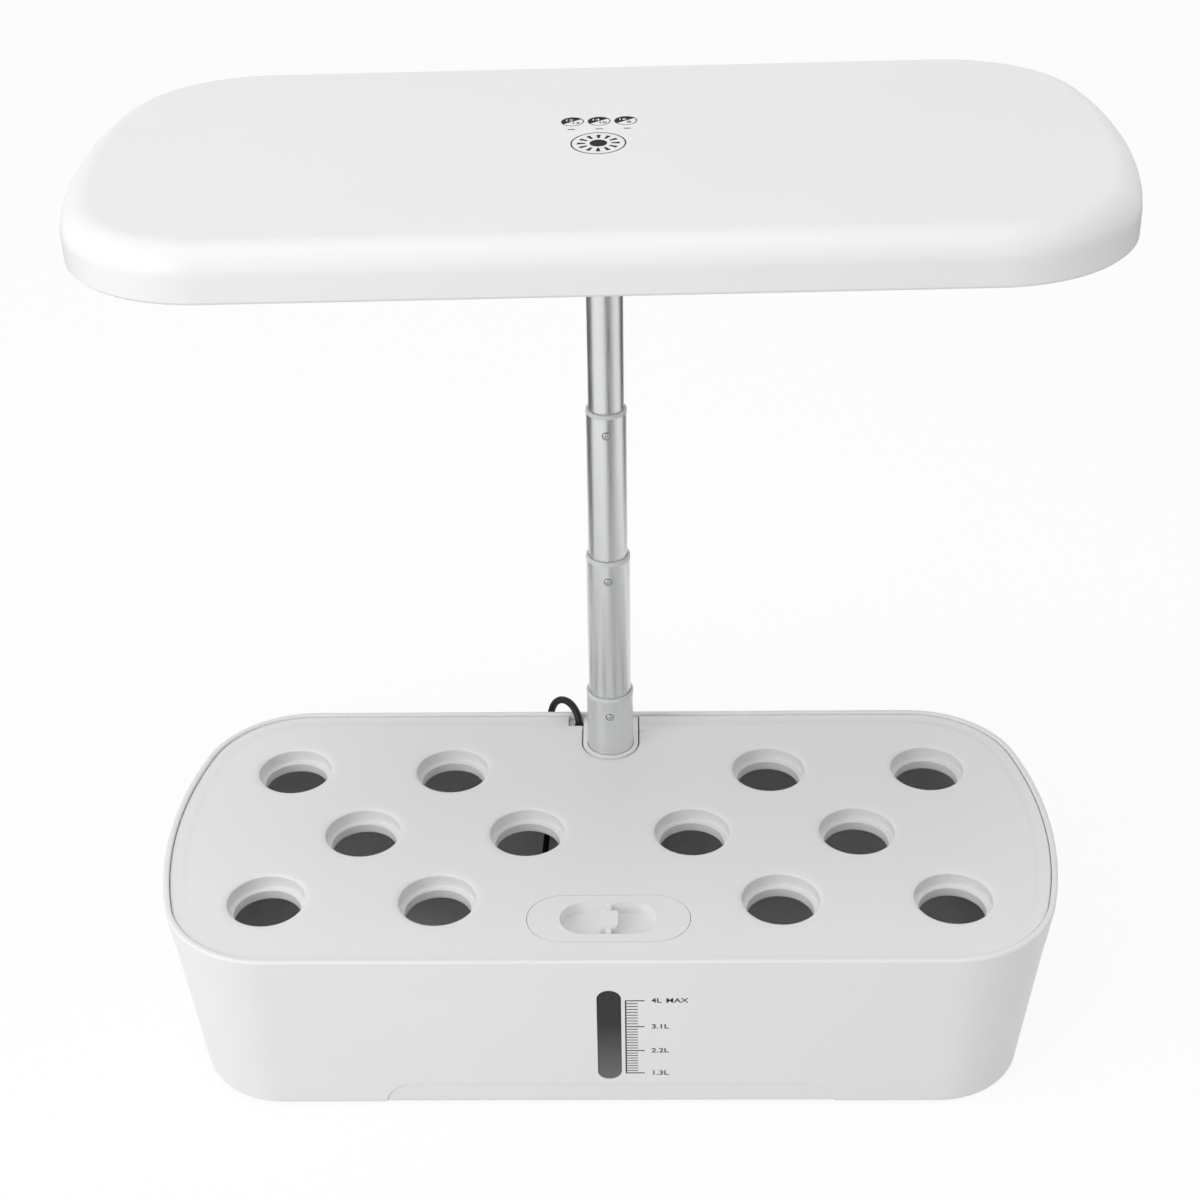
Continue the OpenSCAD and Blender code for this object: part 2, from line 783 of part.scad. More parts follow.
module mast_socket() {
    top = deck_z;
    tongue_end = tank_d / 2 - tank_wall - 0.4;
    inner_r = tube_d / 2 + socket_fit;
    color(white)
    difference() {
        union() {
            translate([0, mast_y, socket_z])
                cylinder(r = socket_r, h = top - socket_z, $fn = 96);
            translate([-socket_r, mast_y, seat_z])
                cube([2 * socket_r, tongue_end - mast_y, top - seat_z]);
            translate([0, mast_y, socket_z])
                stadium(2 * socket_screw_x + 9, 12, 3);
            translate([duct_x, duct_y, socket_z])
                cylinder(r = duct_r, h = duct_top_z - socket_z, $fn = 48);
            translate([duct_x, mast_y + 3, socket_z])
                cube([-duct_x - 8, 7.6, duct_top_z - socket_z]);
            translate([notch_left + 0.3, cable_notch_y + 0.4, seat_z])
                cube([cable_notch_l + 1.6, tongue_end - cable_notch_y - 0.4, 1.6]);
        }
        translate([0, mast_y, tube_seat_z])
            cylinder(r = inner_r, h = 100, $fn = 96);
        for (a = [20, 160])
            translate([inner_r * cos(a), mast_y + inner_r * sin(a), top - 12])
                cylinder(d = 1.6, h = 20, $fn = 24);
        for (m = [-1, 1])
            translate([m * socket_screw_x, mast_y, socket_z - 1])
                cylinder(d = 3.4, h = 5, $fn = 36);
        translate([duct_x, duct_y, tube_seat_z])
            cylinder(r = duct_bore_r, h = 100, $fn = 48);
        duct_exit();
        translate([cable_x, cable_y, seat_z - 1])
            cylinder(d = cable_hole_d, h = 2.7, $fn = 48);
    }
}

module socket_screws() {
    color(metal)
    for (m = [-1, 1])
        translate([m * socket_screw_x, mast_y, socket_z + 3])
            screw(5.6, 1.8, 2.5, 8.5);
}

// One tube of the mast: i counts from the lowest
module mast_tube(i) {
    has_button_above = i < 3;
    has_button_below = i > 0;
    color(metal)
    difference() {
        translate([0, mast_y, tube_starts[i]])
            pipe(tube_r(i), tube_wall, tube_ends[i] - tube_starts[i]);
        if (has_button_above)
            translate([0, mast_y, tube_ends[i] - button_drop])
                rotate([90, 0, 0])
                    cylinder(d = button_d + 0.4, h = 20, $fn = 36);
        if (has_button_below)
            translate([0, mast_y, tube_ends[i - 1] - button_drop])
                rotate([90, 0, 0])
                    cylinder(d = button_d + 0.4, h = 20, $fn = 36);
        if (i == 0)
            duct_exit();
    }
}

module mast_tube_1() { mast_tube(0); }
module mast_tube_2() { mast_tube(1); }
module mast_tube_3() { mast_tube(2); }
module mast_tube_4() { mast_tube(3); }

// The ring on the end of tube i that guides the next tube
module guide_ring(i) {
    inner = tube_r(i + 1) + tube_play;
    outer = tube_r(i) + 0.2;
    color("#d8dadb")
    translate([0, mast_y, tube_ends[i]])
        rotate_extrude($fn = 96)
            polygon(concat(
                [[inner, 0], [outer, 0]],
                arc(outer - 0.6, ring_h - 0.6, 0.6, 0, 90, 4),
                [[inner + 0.2, ring_h], [inner, ring_h - 0.2]]
            ));
}

module guide_ring_1() { guide_ring(0); }
module guide_ring_2() { guide_ring(1); }
module guide_ring_3() { guide_ring(2); }

// The button that locks tube i + 1 in tube i, with its head inside the spring hoop
module snap_button(i) {
    hoop_in = tube_r(i + 1) - tube_wall - 0.6;
    tip = tube_r(i) + button_proud;
    color("#b8babc")
    translate([0, mast_y, tube_ends[i] - button_drop])
        rotate([90, 0, 0])
            rotate_extrude($fn = 48)
                polygon(concat(
                    [
                        [0, hoop_in - 1.15], [button_d / 2 + 0.4, hoop_in - 1.15],
                        [button_d / 2 + 0.4, hoop_in - 0.35], [button_d / 2, hoop_in - 0.35]
                    ],
                    arc(button_d / 2 - 0.7, tip - 0.7, 0.7, 0, 90, 4),
                    [[0, tip]]
                ));
}

module snap_button_1() { snap_button(0); }
module snap_button_2() { snap_button(1); }
module snap_button_3() { snap_button(2); }

// The hoop spring inside tube i + 1, open at the back
module snap_spring(i) {
    r = tube_r(i + 1) - tube_wall - 0.1;
    color(metal)
    translate([0, mast_y, tube_ends[i] - button_drop - 2.6])
        difference() {
            pipe(r, 0.5, 5.2);
            translate([-4, 0, -1])
                cube([8, 20, 8]);
            translate([0, 0, 2.6])
                rotate([90, 0, 0])
                    cylinder(d = button_d + 0.2, h = 20, $fn = 36);
        }
}

module snap_spring_1() { snap_spring(0); }
module snap_spring_2() { snap_spring(1); }
module snap_spring_3() { snap_spring(2); }

// The stretch of the lamp's curly lead that hangs in tube i
module curly_lead(i) {
    from = i == 0 ? tube_seat_z + 6 : tube_starts[i];
    to = i == 3 ? tube_ends[3] - 1 : tube_starts[i + 1];
    color(black)
    translate([0, mast_y, from])
        cylinder(d = curl_d, h = to - from, $fn = 32);
}

module curly_lead_1() { curly_lead(0); }
module curly_lead_2() { curly_lead(1); }
module curly_lead_3() { curly_lead(2); }
module curly_lead_4() { curly_lead(3); }

// ---- Lamp ----

// The mast has a little play, so the lamp hangs lower on its left
module hung() {
    translate([0, mast_y, lamp_z])
        rotate([0, -lamp_tilt, 0])
            translate([0, -mast_y, -lamp_z])
                children();
}

module lamp_shell_outline() {
    polygon(concat(
        [[-far, lamp_z], [-1, lamp_z], [0, lamp_z + 1]],
        arc(-lamp_edge_r, lamp_top_z - lamp_edge_r, lamp_edge_r, 0, 90, 8),
        [[-far, lamp_top_z]]
    ));
}

module lamp_shell_hollow() {
    polygon(concat(
        [[-far, lamp_z - 1], [-lamp_wall, lamp_z - 1]],
        arc(-lamp_edge_r, lamp_top_z - lamp_edge_r, lamp_edge_r - lamp_wall, 0, 90, 8),
        [[-far, lamp_top_z - lamp_wall]]
    ));
}

// The slots of the three indicator lights, behind the touch key
module indicator_places() {
    for (i = [-1:1])
        translate([i * indicator_pitch, key_y + indicator_offset, lamp_top_z])
            children();
}

module lamp_housing() {
    color(white)
    difference() {
        union() {
            difference() {
                lamp_block(lamp_z, lamp_top_z) lamp_shell_outline();
                lamp_block(lamp_z - 1, lamp_top_z) lamp_shell_hollow();
            }
            for (p = lamp_screw_places)
                translate([p[0], p[1], cover_z])
                    cylinder(d = 7, h = lamp_h - cover_t - boss_gap, $fn = 48);
        }
        for (p = lamp_screw_places)
            translate([p[0], p[1], cover_z - 1])
                cylinder(d = 2.5, h = 9, $fn = 36);
        indicator_places()
            translate([-1.4, -0.5, -5])
                cube([2.8, 1, 6]);
    }
}

module lamp_cover() {
    color(white)
    difference() {
        union() {
            lamp_block(lamp_z, cover_z)
                polygon([
                    [-far, lamp_z], [-lamp_wall - cover_gap - 0.4, lamp_z],
                    [-lamp_wall - cover_gap, lamp_z + 0.4], [-lamp_wall - cover_gap, cover_z], [-far, cover_z]
                ]);
            translate([0, mast_y, lamp_z])
                cylinder(r = hub_flange_r, h = hub_flange_z - lamp_z, $fn = 96);
            for (m = [-1, 1], n = [-1, 1])
                translate([m * (board_l / 2 - 5), light_y + n * (board_d / 2 - 12), lamp_z + 1])
                    cylinder(d = 6, h = board_z - lamp_z - 1, $fn = 36);
            for (m = [-1, 1], n = [-1, 1])
                translate([driver_x + m * (driver_l / 2 - 4), driver_y + n * (driver_w / 2 - 4), lamp_z + 1])
                    cylinder(d = 5, h = driver_z - lamp_z - 1, $fn = 36);
        }
        translate([0, light_y, lamp_z - 1])
            rounded_slab(light_l, light_d, 10, 10);
        translate([0, light_y, cover_z - pane_t])
            rounded_slab(light_l + 2 * pane_ledge, light_d + 2 * pane_ledge, 12, 10);
        translate([0, mast_y, lamp_z - 1])
            cylinder(r = hub_r + 0.2, h = 20, $fn = 96);
        for (a = [90, 210, 330])
            rotate_about_mast(a)
                translate([16, 0, hub_flange_z - 5])
                    cylinder(d = 2.6, h = 6, $fn = 36);
        for (p = lamp_screw_places)
            translate([p[0], p[1], 0]) {
                translate([0, 0, lamp_z - 1])
                    cylinder(d = 3.2, h = 6, $fn = 36);
                translate([0, 0, lamp_z - 1])
                    cylinder(d = 6.2, h = 2.8, $fn = 36);
            }
    }
}

module rotate_about_mast(a) {
    translate([0, mast_y, 0])
        rotate([0, 0, a])
            children();
}

module lamp_window() {
    color("#e6ecee")
    translate([0, light_y, cover_z - pane_t])
        rounded_slab(light_l + 2 * pane_ledge - 0.4, light_d + 2 * pane_ledge - 0.4, 11.8, pane_t);
}

module led_board() {
    color("#eef0f0")
    translate([0, light_y, board_z])
        rounded_slab(board_l, board_d, 4, board_t);
}

module led_chips() {
    pitch_x = (light_l - 24) / (led_columns - 1);
    pitch_y = (light_d - 24) / (led_rows - 1);
    color("#f0e6b0")
    for (i = [0:led_columns - 1], k = [0:led_rows - 1])
        translate([(i - (led_columns - 1) / 2) * pitch_x, light_y + (k - (led_rows - 1) / 2) * pitch_y, board_z])
            translate([-1.75, -1.4, -0.8])
                cube([3.5, 2.8, 0.8]);
}

module driver_board() {
    top = board_t - 0.1;
    color("#3f7a4d")
    translate([driver_x, driver_y, driver_z])
        union() {
            rounded_slab(driver_l, driver_w, 2, board_t);
            translate([driver_l / 2 - 6, -5, top])
                cube([6, 10, 3.6]);
            translate([-driver_l / 4, 0, top])
                cylinder(d = 10, h = 8, $fn = 48);
            translate([-5, -9, top])
                cube([14, 16, 7]);
            translate([13, -9, top])
                cube([6, 6, 1.6]);
        }
}

module touch_board() {
    color("#3f7a4d")
    difference() {
        translate([0, key_y + 8, lamp_top_z - lamp_wall - board_t])
            rounded_slab(touch_l, touch_w, 3, board_t);
        indicator_places()
            translate([-1.4, -0.5, -8])
                cube([2.8, 1, 12]);
    }
}

module indicator_lenses() {
    color("#c8ccd0")
    indicator_places()
        translate([-1.3, -0.4, -lamp_wall - board_t])
            cube([2.6, 0.8, lamp_wall + board_t]);
}

module lamp_hub() {
    color(white)
    difference() {
        translate([0, mast_y, 0])
            union() {
                translate([0, 0, lamp_z - 8])
                    cylinder(r = hub_r, h = 20, $fn = 96);
                translate([0, 0, hub_flange_z])
                    cylinder(r = hub_flange_r, h = 3, $fn = 96);
            }
        translate([0, mast_y, lamp_z - 9])
            cylinder(r = tube_r(3) + 0.05, h = tube_ends[3] - lamp_z + 9, $fn = 96);
        translate([0, mast_y, lamp_z])
            cylinder(d = curl_d - 1.4, h = 20, $fn = 48);
        for (a = [90, 210, 330])
            rotate_about_mast(a)
                translate([16, 0, hub_flange_z - 1])
                    cylinder(d = 3.2, h = 5, $fn = 36);
    }
}

module hub_screws() {
    color(metal)
    for (a = [90, 210, 330])
        rotate_about_mast(a)
            translate([16, 0, hub_flange_z + 3])
                screw(5.4, 1.6, 2.5, 7.5);
}

module lamp_screws() {
    color(metal)
    for (p = lamp_screw_places)
        translate([p[0], p[1], lamp_z + 1.8])
            mirror([0, 0, 1])
                screw(5.6, 1.7, 2.4, 8);
}

module lamp_top_lead() {
    color(black)
    translate([0, 0, lamp_z])
        lead(top_route, lead_d, 2);
}

// ---- Pump ----

// Turns a shape drawn along Z to lie along the shaft, from x on
module along_shaft(x) {
    translate([x, pump_y, shaft_z])
        rotate([0, 90, 0])
            children();
}

module pump_housing() {
    color("#2c2e30")
    difference() {
        translate([pump_x, pump_y, pump_z])
            rounded_slab(pump_l, pump_w, 4, pump_h);
        along_shaft(pump_left - 1)
            cylinder(d = impeller_d + 3, h = chamber_h + 1, $fn = 72);
        along_shaft(pump_left)
            cylinder(r = rotor_r + well_play, h = chamber_h + rotor_l + 2, $fn = 72);
        along_shaft(pump_left)
            cylinder(d = shaft_d + 0.04, h = chamber_h + rotor_l + 5, $fn = 36);
        translate([pump_left + chamber_h / 2, pump_y, shaft_z])
            cylinder(d = 5, h = pump_h, $fn = 36);
        translate([pump_left + chamber_h + rotor_l + 7, pump_y - pump_w / 2 + 4, pump_z + 4])
            cube([8.6, pump_w - 8, pump_h - 8]);
    }
    color("#2c2e30")
    along_shaft(pump_x + pump_l / 2 - 0.5)
        translate([-0.5, 0, 0])
            cylinder(d1 = lead_d + 4, d2 = lead_d + 1.6, h = 2.5, $fn = 36);
}

module pump_stator() {
    color("#8a5a2c")
    translate([pump_left + chamber_h + rotor_l + 7.3, pump_y - pump_w / 2 + 4.3, pump_z + 4.3])
        cube([8, pump_w - 8.6, pump_h - 8.6]);
}

module pump_cover() {
    color("#2c2e30")
    difference() {
        translate([pump_left - cover_depth / 2, pump_y, pump_z + 1])
            rounded_slab(cover_depth, pump_w - 2, 2, pump_h - 2);
        translate([pump_left - cover_depth + 1.5, pump_y - pump_w / 2 + 3, pump_z + 3])
            cube([5.5, pump_w - 6, pump_h - 6]);
        for (i = [-2:2])
            translate([pump_left - cover_depth - 1, pump_y + 4.6 * i - 1, pump_z + 5])
                cube([4, 2, pump_h - 10]);
        for (a = [45:90:315])
            along_shaft(pump_left - 5)
                translate([5 * cos(a), 5 * sin(a), 0])
                    cylinder(d = 4.4, h = 6, $fn = 36);
        along_shaft(pump_left - 2)
            cylinder(d = shaft_d + 0.04, h = 4, $fn = 36);
    }
}

module pump_sponge() {
    color("#35383a")
    translate([pump_left - cover_depth + 1.6, pump_y - pump_w / 2 + 3.1, pump_z + 3.1])
        cube([5.3, pump_w - 6.2, pump_h - 6.2]);
}

module pump_shaft() {
    color("#e8e4dc")
    along_shaft(pump_left - 1.9)
        cylinder(d = shaft_d, h = chamber_h + rotor_l + 6.6, $fn = 36);
}

module impeller() {
    color("#f0f0ee")
    difference() {
        union() {
            along_shaft(pump_left + 4)
                cylinder(d = impeller_d - 2, h = 1.5, $fn = 72);
            for (k = [0:5])
                along_shaft(pump_left + 1)
                    rotate([0, 0, 60 * k])
                        translate([2, -0.6, 0])
                            cube([impeller_d / 2 - 2, 1.2, 3.5]);
            along_shaft(pump_left + 1)
                cylinder(r = 3, h = chamber_h + rotor_l - 0.4, $fn = 48);
        }
        along_shaft(pump_left)
            cylinder(d = shaft_d + 0.12, h = chamber_h + rotor_l + 4, $fn = 36);
    }
}

module rotor_magnet() {
    color("#4a4442")
    along_shaft(pump_left + chamber_h)
        difference() {
            cylinder(r = rotor_r, h = rotor_l, $fn = 72);
            translate([0, 0, -1])
                cylinder(r = 3.02, h = rotor_l + 2, $fn = 48);
        }
}

module pump_outlet() {
    color("#2c2e30")
    translate([pump_left + chamber_h / 2 + 4, pump_y, pump_z + pump_h])
        difference() {
            union() {
                translate([-4, 0, 0])
                    cylinder(d = 8.5, h = 12, $fn = 48);
                translate([-4, 0, 0])
                    cylinder(d = 11, h = 1.5, $fn = 48);
                translate([-4, 0, 8.5])
                    rotate([0, 90, 0])
                        cylinder(d = 7, h = 12, $fn = 48);
            }
            translate([-4, 0, -1])
                cylinder(d = 5, h = 11, $fn = 36);
            translate([-4, 0, 8.5])
                rotate([0, 90, 0])
                    cylinder(d = 4.6, h = 14, $fn = 36);
        }
}

module suction_cups() {
    color("#5a5e60")
    for (m = [-1, 1], n = [-1, 1])
        translate([pump_x + m * (pump_l / 2 - 8), pump_y + n * (pump_w / 2 - 8), floor_z])
            difference() {
                union() {
                    cylinder(r1 = 7.4, r2 = 4, h = cup_h - 2, $fn = 48);
                    cylinder(r = 3, h = cup_h, $fn = 36);
                }
                translate([0, 0, -1])
                    cylinder(r = 4.6, h = 2, $fn = 36);
            }
}

// ---- Leads ----

module pump_lead() {
    color(black)
    lead(pump_route, lead_d, 2);
}

module supply_lead() {
    color(black)
    lead(supply_route, cord_d, 1);
}

module duct_lead() {
    color(black)
    lead(duct_route, cord_d, 1);
}

// The moulded joint where the supply, the pump's lead and the mast's lead meet
module lead_splice() {
    color(black)
    translate([duct_x, 85, splice_z])
        rounded_slab(6.6, 6.4, 2.4, splice_h);
}

module cable_grommet() {
    color(black)
    translate([cable_x, cable_y, 0])
        difference() {
            union() {
                translate([0, 0, seat_z - 0.6])
                    cylinder(d = cable_hole_d - 0.1, h = 2.2, $fn = 48);
                translate([0, 0, seat_z - 0.6])
                    cylinder(d = cord_d + 2.6, h = 0.5, $fn = 48);
            }
            translate([0, 0, seat_z - 5])
                cylinder(d = cord_d + 0.05, h = 10, $fn = 48);
        }
}

module power_cord() {
    color(black)
    lead(cord_route, cord_d, 2);
}

module cord_coil() {
    color(black)
    translate([coil_x, coil_y, 0])
        rotate_extrude($fn = 96)
            translate([coil_in, 0])
                square([coil_out - coil_in, coil_h]);
}

module coil_tie() {
    color("#3a3a3c")
    translate([coil_x, coil_y, 0])
        rotate([0, 0, 215])
            difference() {
                translate([coil_in - 0.6, -4, 0])
                    cube([coil_out - coil_in + 1.2, 8, coil_h + 0.6]);
                translate([coil_in - 0.02, -5, 0.4])
                    cube([coil_out - coil_in + 0.04, 10, coil_h - 0.4]);
            }
}

module plug_lead() {
    color(black)
    lead(plug_route, cord_d, 2);
}

// The tapered sleeve where the lead enters the adapter
module strain_relief() {
    color(black)
    translate([adapter_x + adapter_l / 2, adapter_y, adapter_h / 2])
        rotate([0, 90, 0])
            difference() {
                cylinder(d1 = 8.4, d2 = cord_d + 1.4, h = relief_l, $fn = 36);
                translate([0, 0, 10])
                    cylinder(d = cord_d + 0.05, h = relief_l, $fn = 36);
            }
}

module adapter_body() {
    color(black)
    translate([adapter_x, adapter_y, 0])
        union() {
            rounded_slab(adapter_l, adapter_w, 4, adapter_h);
            translate([-adapter_l / 2 - 2, 0, adapter_h / 2])
                rotate([0, 90, 0])
                    rounded_slab(adapter_h - 5, adapter_w - 6, 3, 3);
        }
}

module adapter_blades() {
    color(metal)
    for (m = [-1, 1])
        translate([adapter_x - adapter_l / 2 - 2 - 16, adapter_y + m * 6.35 - 0.75, adapter_h / 2 - 3.15])
            cube([16, 1.5, 6.3]);
}

tank();
water_window();
window_gasket();
rubber_feet();
lid();
filler_cap();
mast_socket();
socket_screws();
mast_tube_1();
mast_tube_2();
mast_tube_3();
mast_tube_4();
guide_ring_1();
guide_ring_2();
guide_ring_3();
snap_button_1();
snap_button_2();
snap_button_3();
snap_spring_1();
snap_spring_2();
snap_spring_3();
curly_lead_1();
curly_lead_2();
curly_lead_3();
curly_lead_4();
hung() lamp_housing();
hung() lamp_cover();
hung() lamp_window();
hung() led_board();
hung() led_chips();
hung() driver_board();
hung() touch_board();
hung() indicator_lenses();
hung() lamp_hub();
hung() hub_screws();
hung() lamp_screws();
hung() lamp_top_lead();
pump_housing();
pump_cover();
pump_sponge();
pump_stator();
pump_shaft();
pump_outlet();
suction_cups();
impeller();
rotor_magnet();
pump_lead();
supply_lead();
lead_splice();
duct_lead();
cable_grommet();
power_cord();
cord_coil();
coil_tie();
plug_lead();
strain_relief();
adapter_body();
adapter_blades();
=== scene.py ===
# %% [markdown]
# # A countertop garden, dressed in Blender
# The garden is a white water tank with a twelve-hole deck, a four-stage mast and a flat grow lamp. The
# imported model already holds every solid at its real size. This lesson gives each one its finish, and
# adds what solids leave out: smooth shading, cords at their full length, coiled leads, screws, LEDs
# and the printed marks.

# %% Load the frame
import json
import math

import bmesh
import bpy
from mathutils import Matrix, Vector


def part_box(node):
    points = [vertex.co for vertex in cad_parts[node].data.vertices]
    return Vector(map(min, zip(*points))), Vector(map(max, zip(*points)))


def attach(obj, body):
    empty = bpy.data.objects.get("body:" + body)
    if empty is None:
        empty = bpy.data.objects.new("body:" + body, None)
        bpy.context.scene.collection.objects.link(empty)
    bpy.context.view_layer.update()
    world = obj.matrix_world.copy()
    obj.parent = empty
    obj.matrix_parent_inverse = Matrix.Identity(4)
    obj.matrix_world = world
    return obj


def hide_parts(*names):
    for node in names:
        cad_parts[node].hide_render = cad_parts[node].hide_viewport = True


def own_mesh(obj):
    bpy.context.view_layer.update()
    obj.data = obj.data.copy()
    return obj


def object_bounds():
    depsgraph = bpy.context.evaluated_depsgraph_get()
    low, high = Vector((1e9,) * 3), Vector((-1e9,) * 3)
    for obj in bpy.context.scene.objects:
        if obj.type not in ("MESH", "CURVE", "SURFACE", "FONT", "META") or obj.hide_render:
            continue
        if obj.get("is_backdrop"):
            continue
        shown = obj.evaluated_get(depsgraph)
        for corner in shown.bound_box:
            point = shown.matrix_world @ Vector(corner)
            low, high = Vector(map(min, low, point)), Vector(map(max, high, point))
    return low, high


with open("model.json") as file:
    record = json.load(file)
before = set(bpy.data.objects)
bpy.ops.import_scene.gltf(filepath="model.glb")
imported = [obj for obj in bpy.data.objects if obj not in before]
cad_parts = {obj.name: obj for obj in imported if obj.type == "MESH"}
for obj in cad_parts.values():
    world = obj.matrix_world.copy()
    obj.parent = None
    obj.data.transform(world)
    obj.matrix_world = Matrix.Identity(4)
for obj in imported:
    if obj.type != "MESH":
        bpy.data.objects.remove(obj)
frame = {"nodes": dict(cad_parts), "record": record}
cad_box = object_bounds()
nodes = frame["nodes"]
scene = bpy.context.scene
bodies = frame["record"]["behaviour"]["bodies"]
body_of = {node: body for body, names in bodies.items() for node in names}

# %% [markdown]
# ## Units, colours and nodes
# Everything is in metres, but the garden is easier to think of in millimetres. Colours are written as
# the hex values that a paint chart would give, and one function turns them into the linear values that
# a shader wants. One more small function adds a shader or geometry node with its settings and links,
# which keeps each material short enough to read.

# %% Helpers for points, colours and nodes
MM = 0.001


def mm(x, y, z):
    """A point in millimetres, as metres."""
    return Vector((x, y, z)) * MM


def srgb(code):
    """An sRGB hex colour as linear RGBA."""
    parts = [int(code[i:i + 2], 16) / 255 for i in (1, 3, 5)]
    return (*[c / 12.92 if c <= 0.04045 else ((c + 0.055) / 1.055) ** 2.4 for c in parts], 1.0)


def node(tree, kind, inputs=None, **settings):
    """Adds a node, sets its settings, and sets or links its inputs by name or number."""
    made = tree.nodes.new(kind)
    for key, value in settings.items():
        setattr(made, key, value)
    for key, value in (inputs or {}).items():
        if isinstance(value, bpy.types.NodeSocket):
            tree.links.new(value, made.inputs[key])
        else:
            made.inputs[key].default_value = value
    return made


# %% [markdown]
# ## Camera
# A long lens looks down at the garden from a little right of its middle. The angles are set as a
# photographer would: where the tripod stands, how far the lens tips down, and the small roll that
# stops the picture from being perfectly level.

# %% Camera
CAMERA_PLACE = mm(12.4, -780.1, 686.1)
CAMERA_TIP = math.radians(31.22)
CAMERA_TURN = math.radians(-1.11)
CAMERA_ROLL = math.radians(-0.93)
LENS_MM = 63.76
SENSOR_MM = 36


def make_camera():
    ahead = Vector((
        math.sin(CAMERA_TURN) * math.cos(CAMERA_TIP),
        math.cos(CAMERA_TURN) * math.cos(CAMERA_TIP),
        -math.sin(CAMERA_TIP),
    ))
    level = Vector((math.cos(CAMERA_TURN), -math.sin(CAMERA_TURN), 0))
    up = level.cross(ahead)
    right = level * math.cos(CAMERA_ROLL) + up * math.sin(CAMERA_ROLL)
    top = up * math.cos(CAMERA_ROLL) - level * math.sin(CAMERA_ROLL)
    camera = bpy.data.objects.new("camera", bpy.data.cameras.new("camera"))
    turn = Matrix((right, top, -ahead)).transposed().to_4x4()
    camera.matrix_world = Matrix.Translation(CAMERA_PLACE) @ turn
    camera.data.lens = LENS_MM
    camera.data.sensor_width = SENSOR_MM
    scene.collection.objects.link(camera)
    scene.camera = camera
    print("camera at", [round(x, 3) for x in camera.location])


make_camera()

# %% [markdown]
# ## Putting a piece on the garden
# A piece rides on the body that carries it, so that it follows the mast or the lid. Most pieces stand
# for a solid of the frame. That solid is loose flat triangles, so a copy is merged, its flat faces are
# joined, and it is shaded smoothly up to each sharp edge. Weighting the normals by the area of the
# faces keeps big flat faces flat beside a rounded edge.

# %% Helpers for pieces
MERGE = 1e-6
FLAT = math.radians(0.4)
SHARP = math.radians(32)


def as_object(name, data):
    """A new object for a mesh or a curve, at the origin."""
    made = bpy.data.objects.new(name, data)
    scene.collection.objects.link(made)
    return made


def plain_mesh(thing):
    """What a modified, curved or lettered object looks like, as a plain mesh. The object goes."""
    seen = thing.evaluated_get(bpy.context.evaluated_depsgraph_get())
    mesh = bpy.data.meshes.new_from_object(seen)
    bpy.data.objects.remove(thing)
    return mesh


def as_mesh(name, shape):
    """A new mesh from a shape that is being built. The shape is freed."""
    mesh = bpy.data.meshes.new(name)
    shape.to_mesh(mesh)
    shape.free()
    return mesh


def settle(piece, body, *stands_for):
    """Puts a piece on its body, in place of the nodes that it stands for."""
    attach(piece, body)
    if stands_for:
        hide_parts(*stands_for)
    return piece


def shaded(name, mesh, finish):
    """An object in one finish, with smooth faces between sharp edges."""
    mesh.materials.clear()
    mesh.materials.append(finish)
    mesh.shade_smooth()
    mesh.set_sharp_from_angle(angle=SHARP)
    rough = as_object(name, mesh)
    weighted = rough.modifiers.new("normals", "WEIGHTED_NORMAL")
    weighted.keep_sharp = True
    weighted.mode = "FACE_AREA"
    return as_object(name, plain_mesh(rough))


def merged_copy(name):
    """The mesh of a node with its triangles joined into faces."""
    source = nodes[name].data
    shape = bmesh.new()
    corners = [shape.verts.new(v.co) for v in source.vertices]
    for face in source.polygons:
        shape.faces.new([corners[i] for i in face.vertices])
    bmesh.ops.remove_doubles(shape, verts=shape.verts, dist=MERGE)
    bmesh.ops.dissolve_limit(shape, angle_limit=FLAT, verts=shape.verts, edges=shape.edges)
    return as_mesh(name, shape)


def dress(name, finish):
    """Puts a finished copy of a node in its place."""
    piece = shaded(name + "_finished", merged_copy(name), finish)
    return settle(piece, body_of[name], name)


# %% [markdown]
# ## The moulded white plastic
# The tank, the deck and the lamp are injection-moulded ABS. The mould was spark-eroded, which leaves a
# satin skin of pits a few tenths of a millimetre across, and moulded edges are never quite sharp. The
# pits come from a noise that moves both the roughness and the height, and a bevel in the shader rounds
# the edges by what a cutter leaves, so the meshes stay light.

# %% White ABS
def begin(name, colour, roughness, **more):
    """A material and its shader. more sets other inputs, with _ for a space."""
    material = bpy.data.materials.new(name)
    material.use_nodes = True
    shader = material.node_tree.nodes["Principled BSDF"]
    shader.inputs["Base Color"].default_value = srgb(colour)
    shader.inputs["Roughness"].default_value = roughness
    for key, value in more.items():
        shader.inputs[key.replace("_", " ")].default_value = value
    return material, material.node_tree, shader


def skin(tree, shader, grain, depth, rough, stretch=(1, 1, 1), edge=None):
    """Gives a shader a grain of that size and depth in mm, and lets its roughness move in a range."""
    place = node(tree, "ShaderNodeTexCoord").outputs["Object"]
    laid = node(tree, "ShaderNodeMapping", {"Vector": place, "Scale": stretch}).outputs[0]
    pattern = {"Vector": laid, "Scale": 1 / (grain * MM), "Detail": 2.0}
    noise = node(tree, "ShaderNodeTexNoise", pattern).outputs[0]
    smooth, matt = rough
    spread = node(tree, "ShaderNodeMapRange", {0: noise, 1: 0.3, 2: 0.7, 3: smooth, 4: matt})
    tree.links.new(spread.outputs[0], shader.inputs["Roughness"])
    bump = node(tree, "ShaderNodeBump", {"Height": noise, "Distance": depth * MM, "Strength": 1.0})
    if edge:
        rounded = node(tree, "ShaderNodeBevel", {"Radius": edge * MM}, samples=4).outputs[0]
        tree.links.new(rounded, bump.inputs["Normal"])
    tree.links.new(bump.outputs[0], shader.inputs["Normal"])


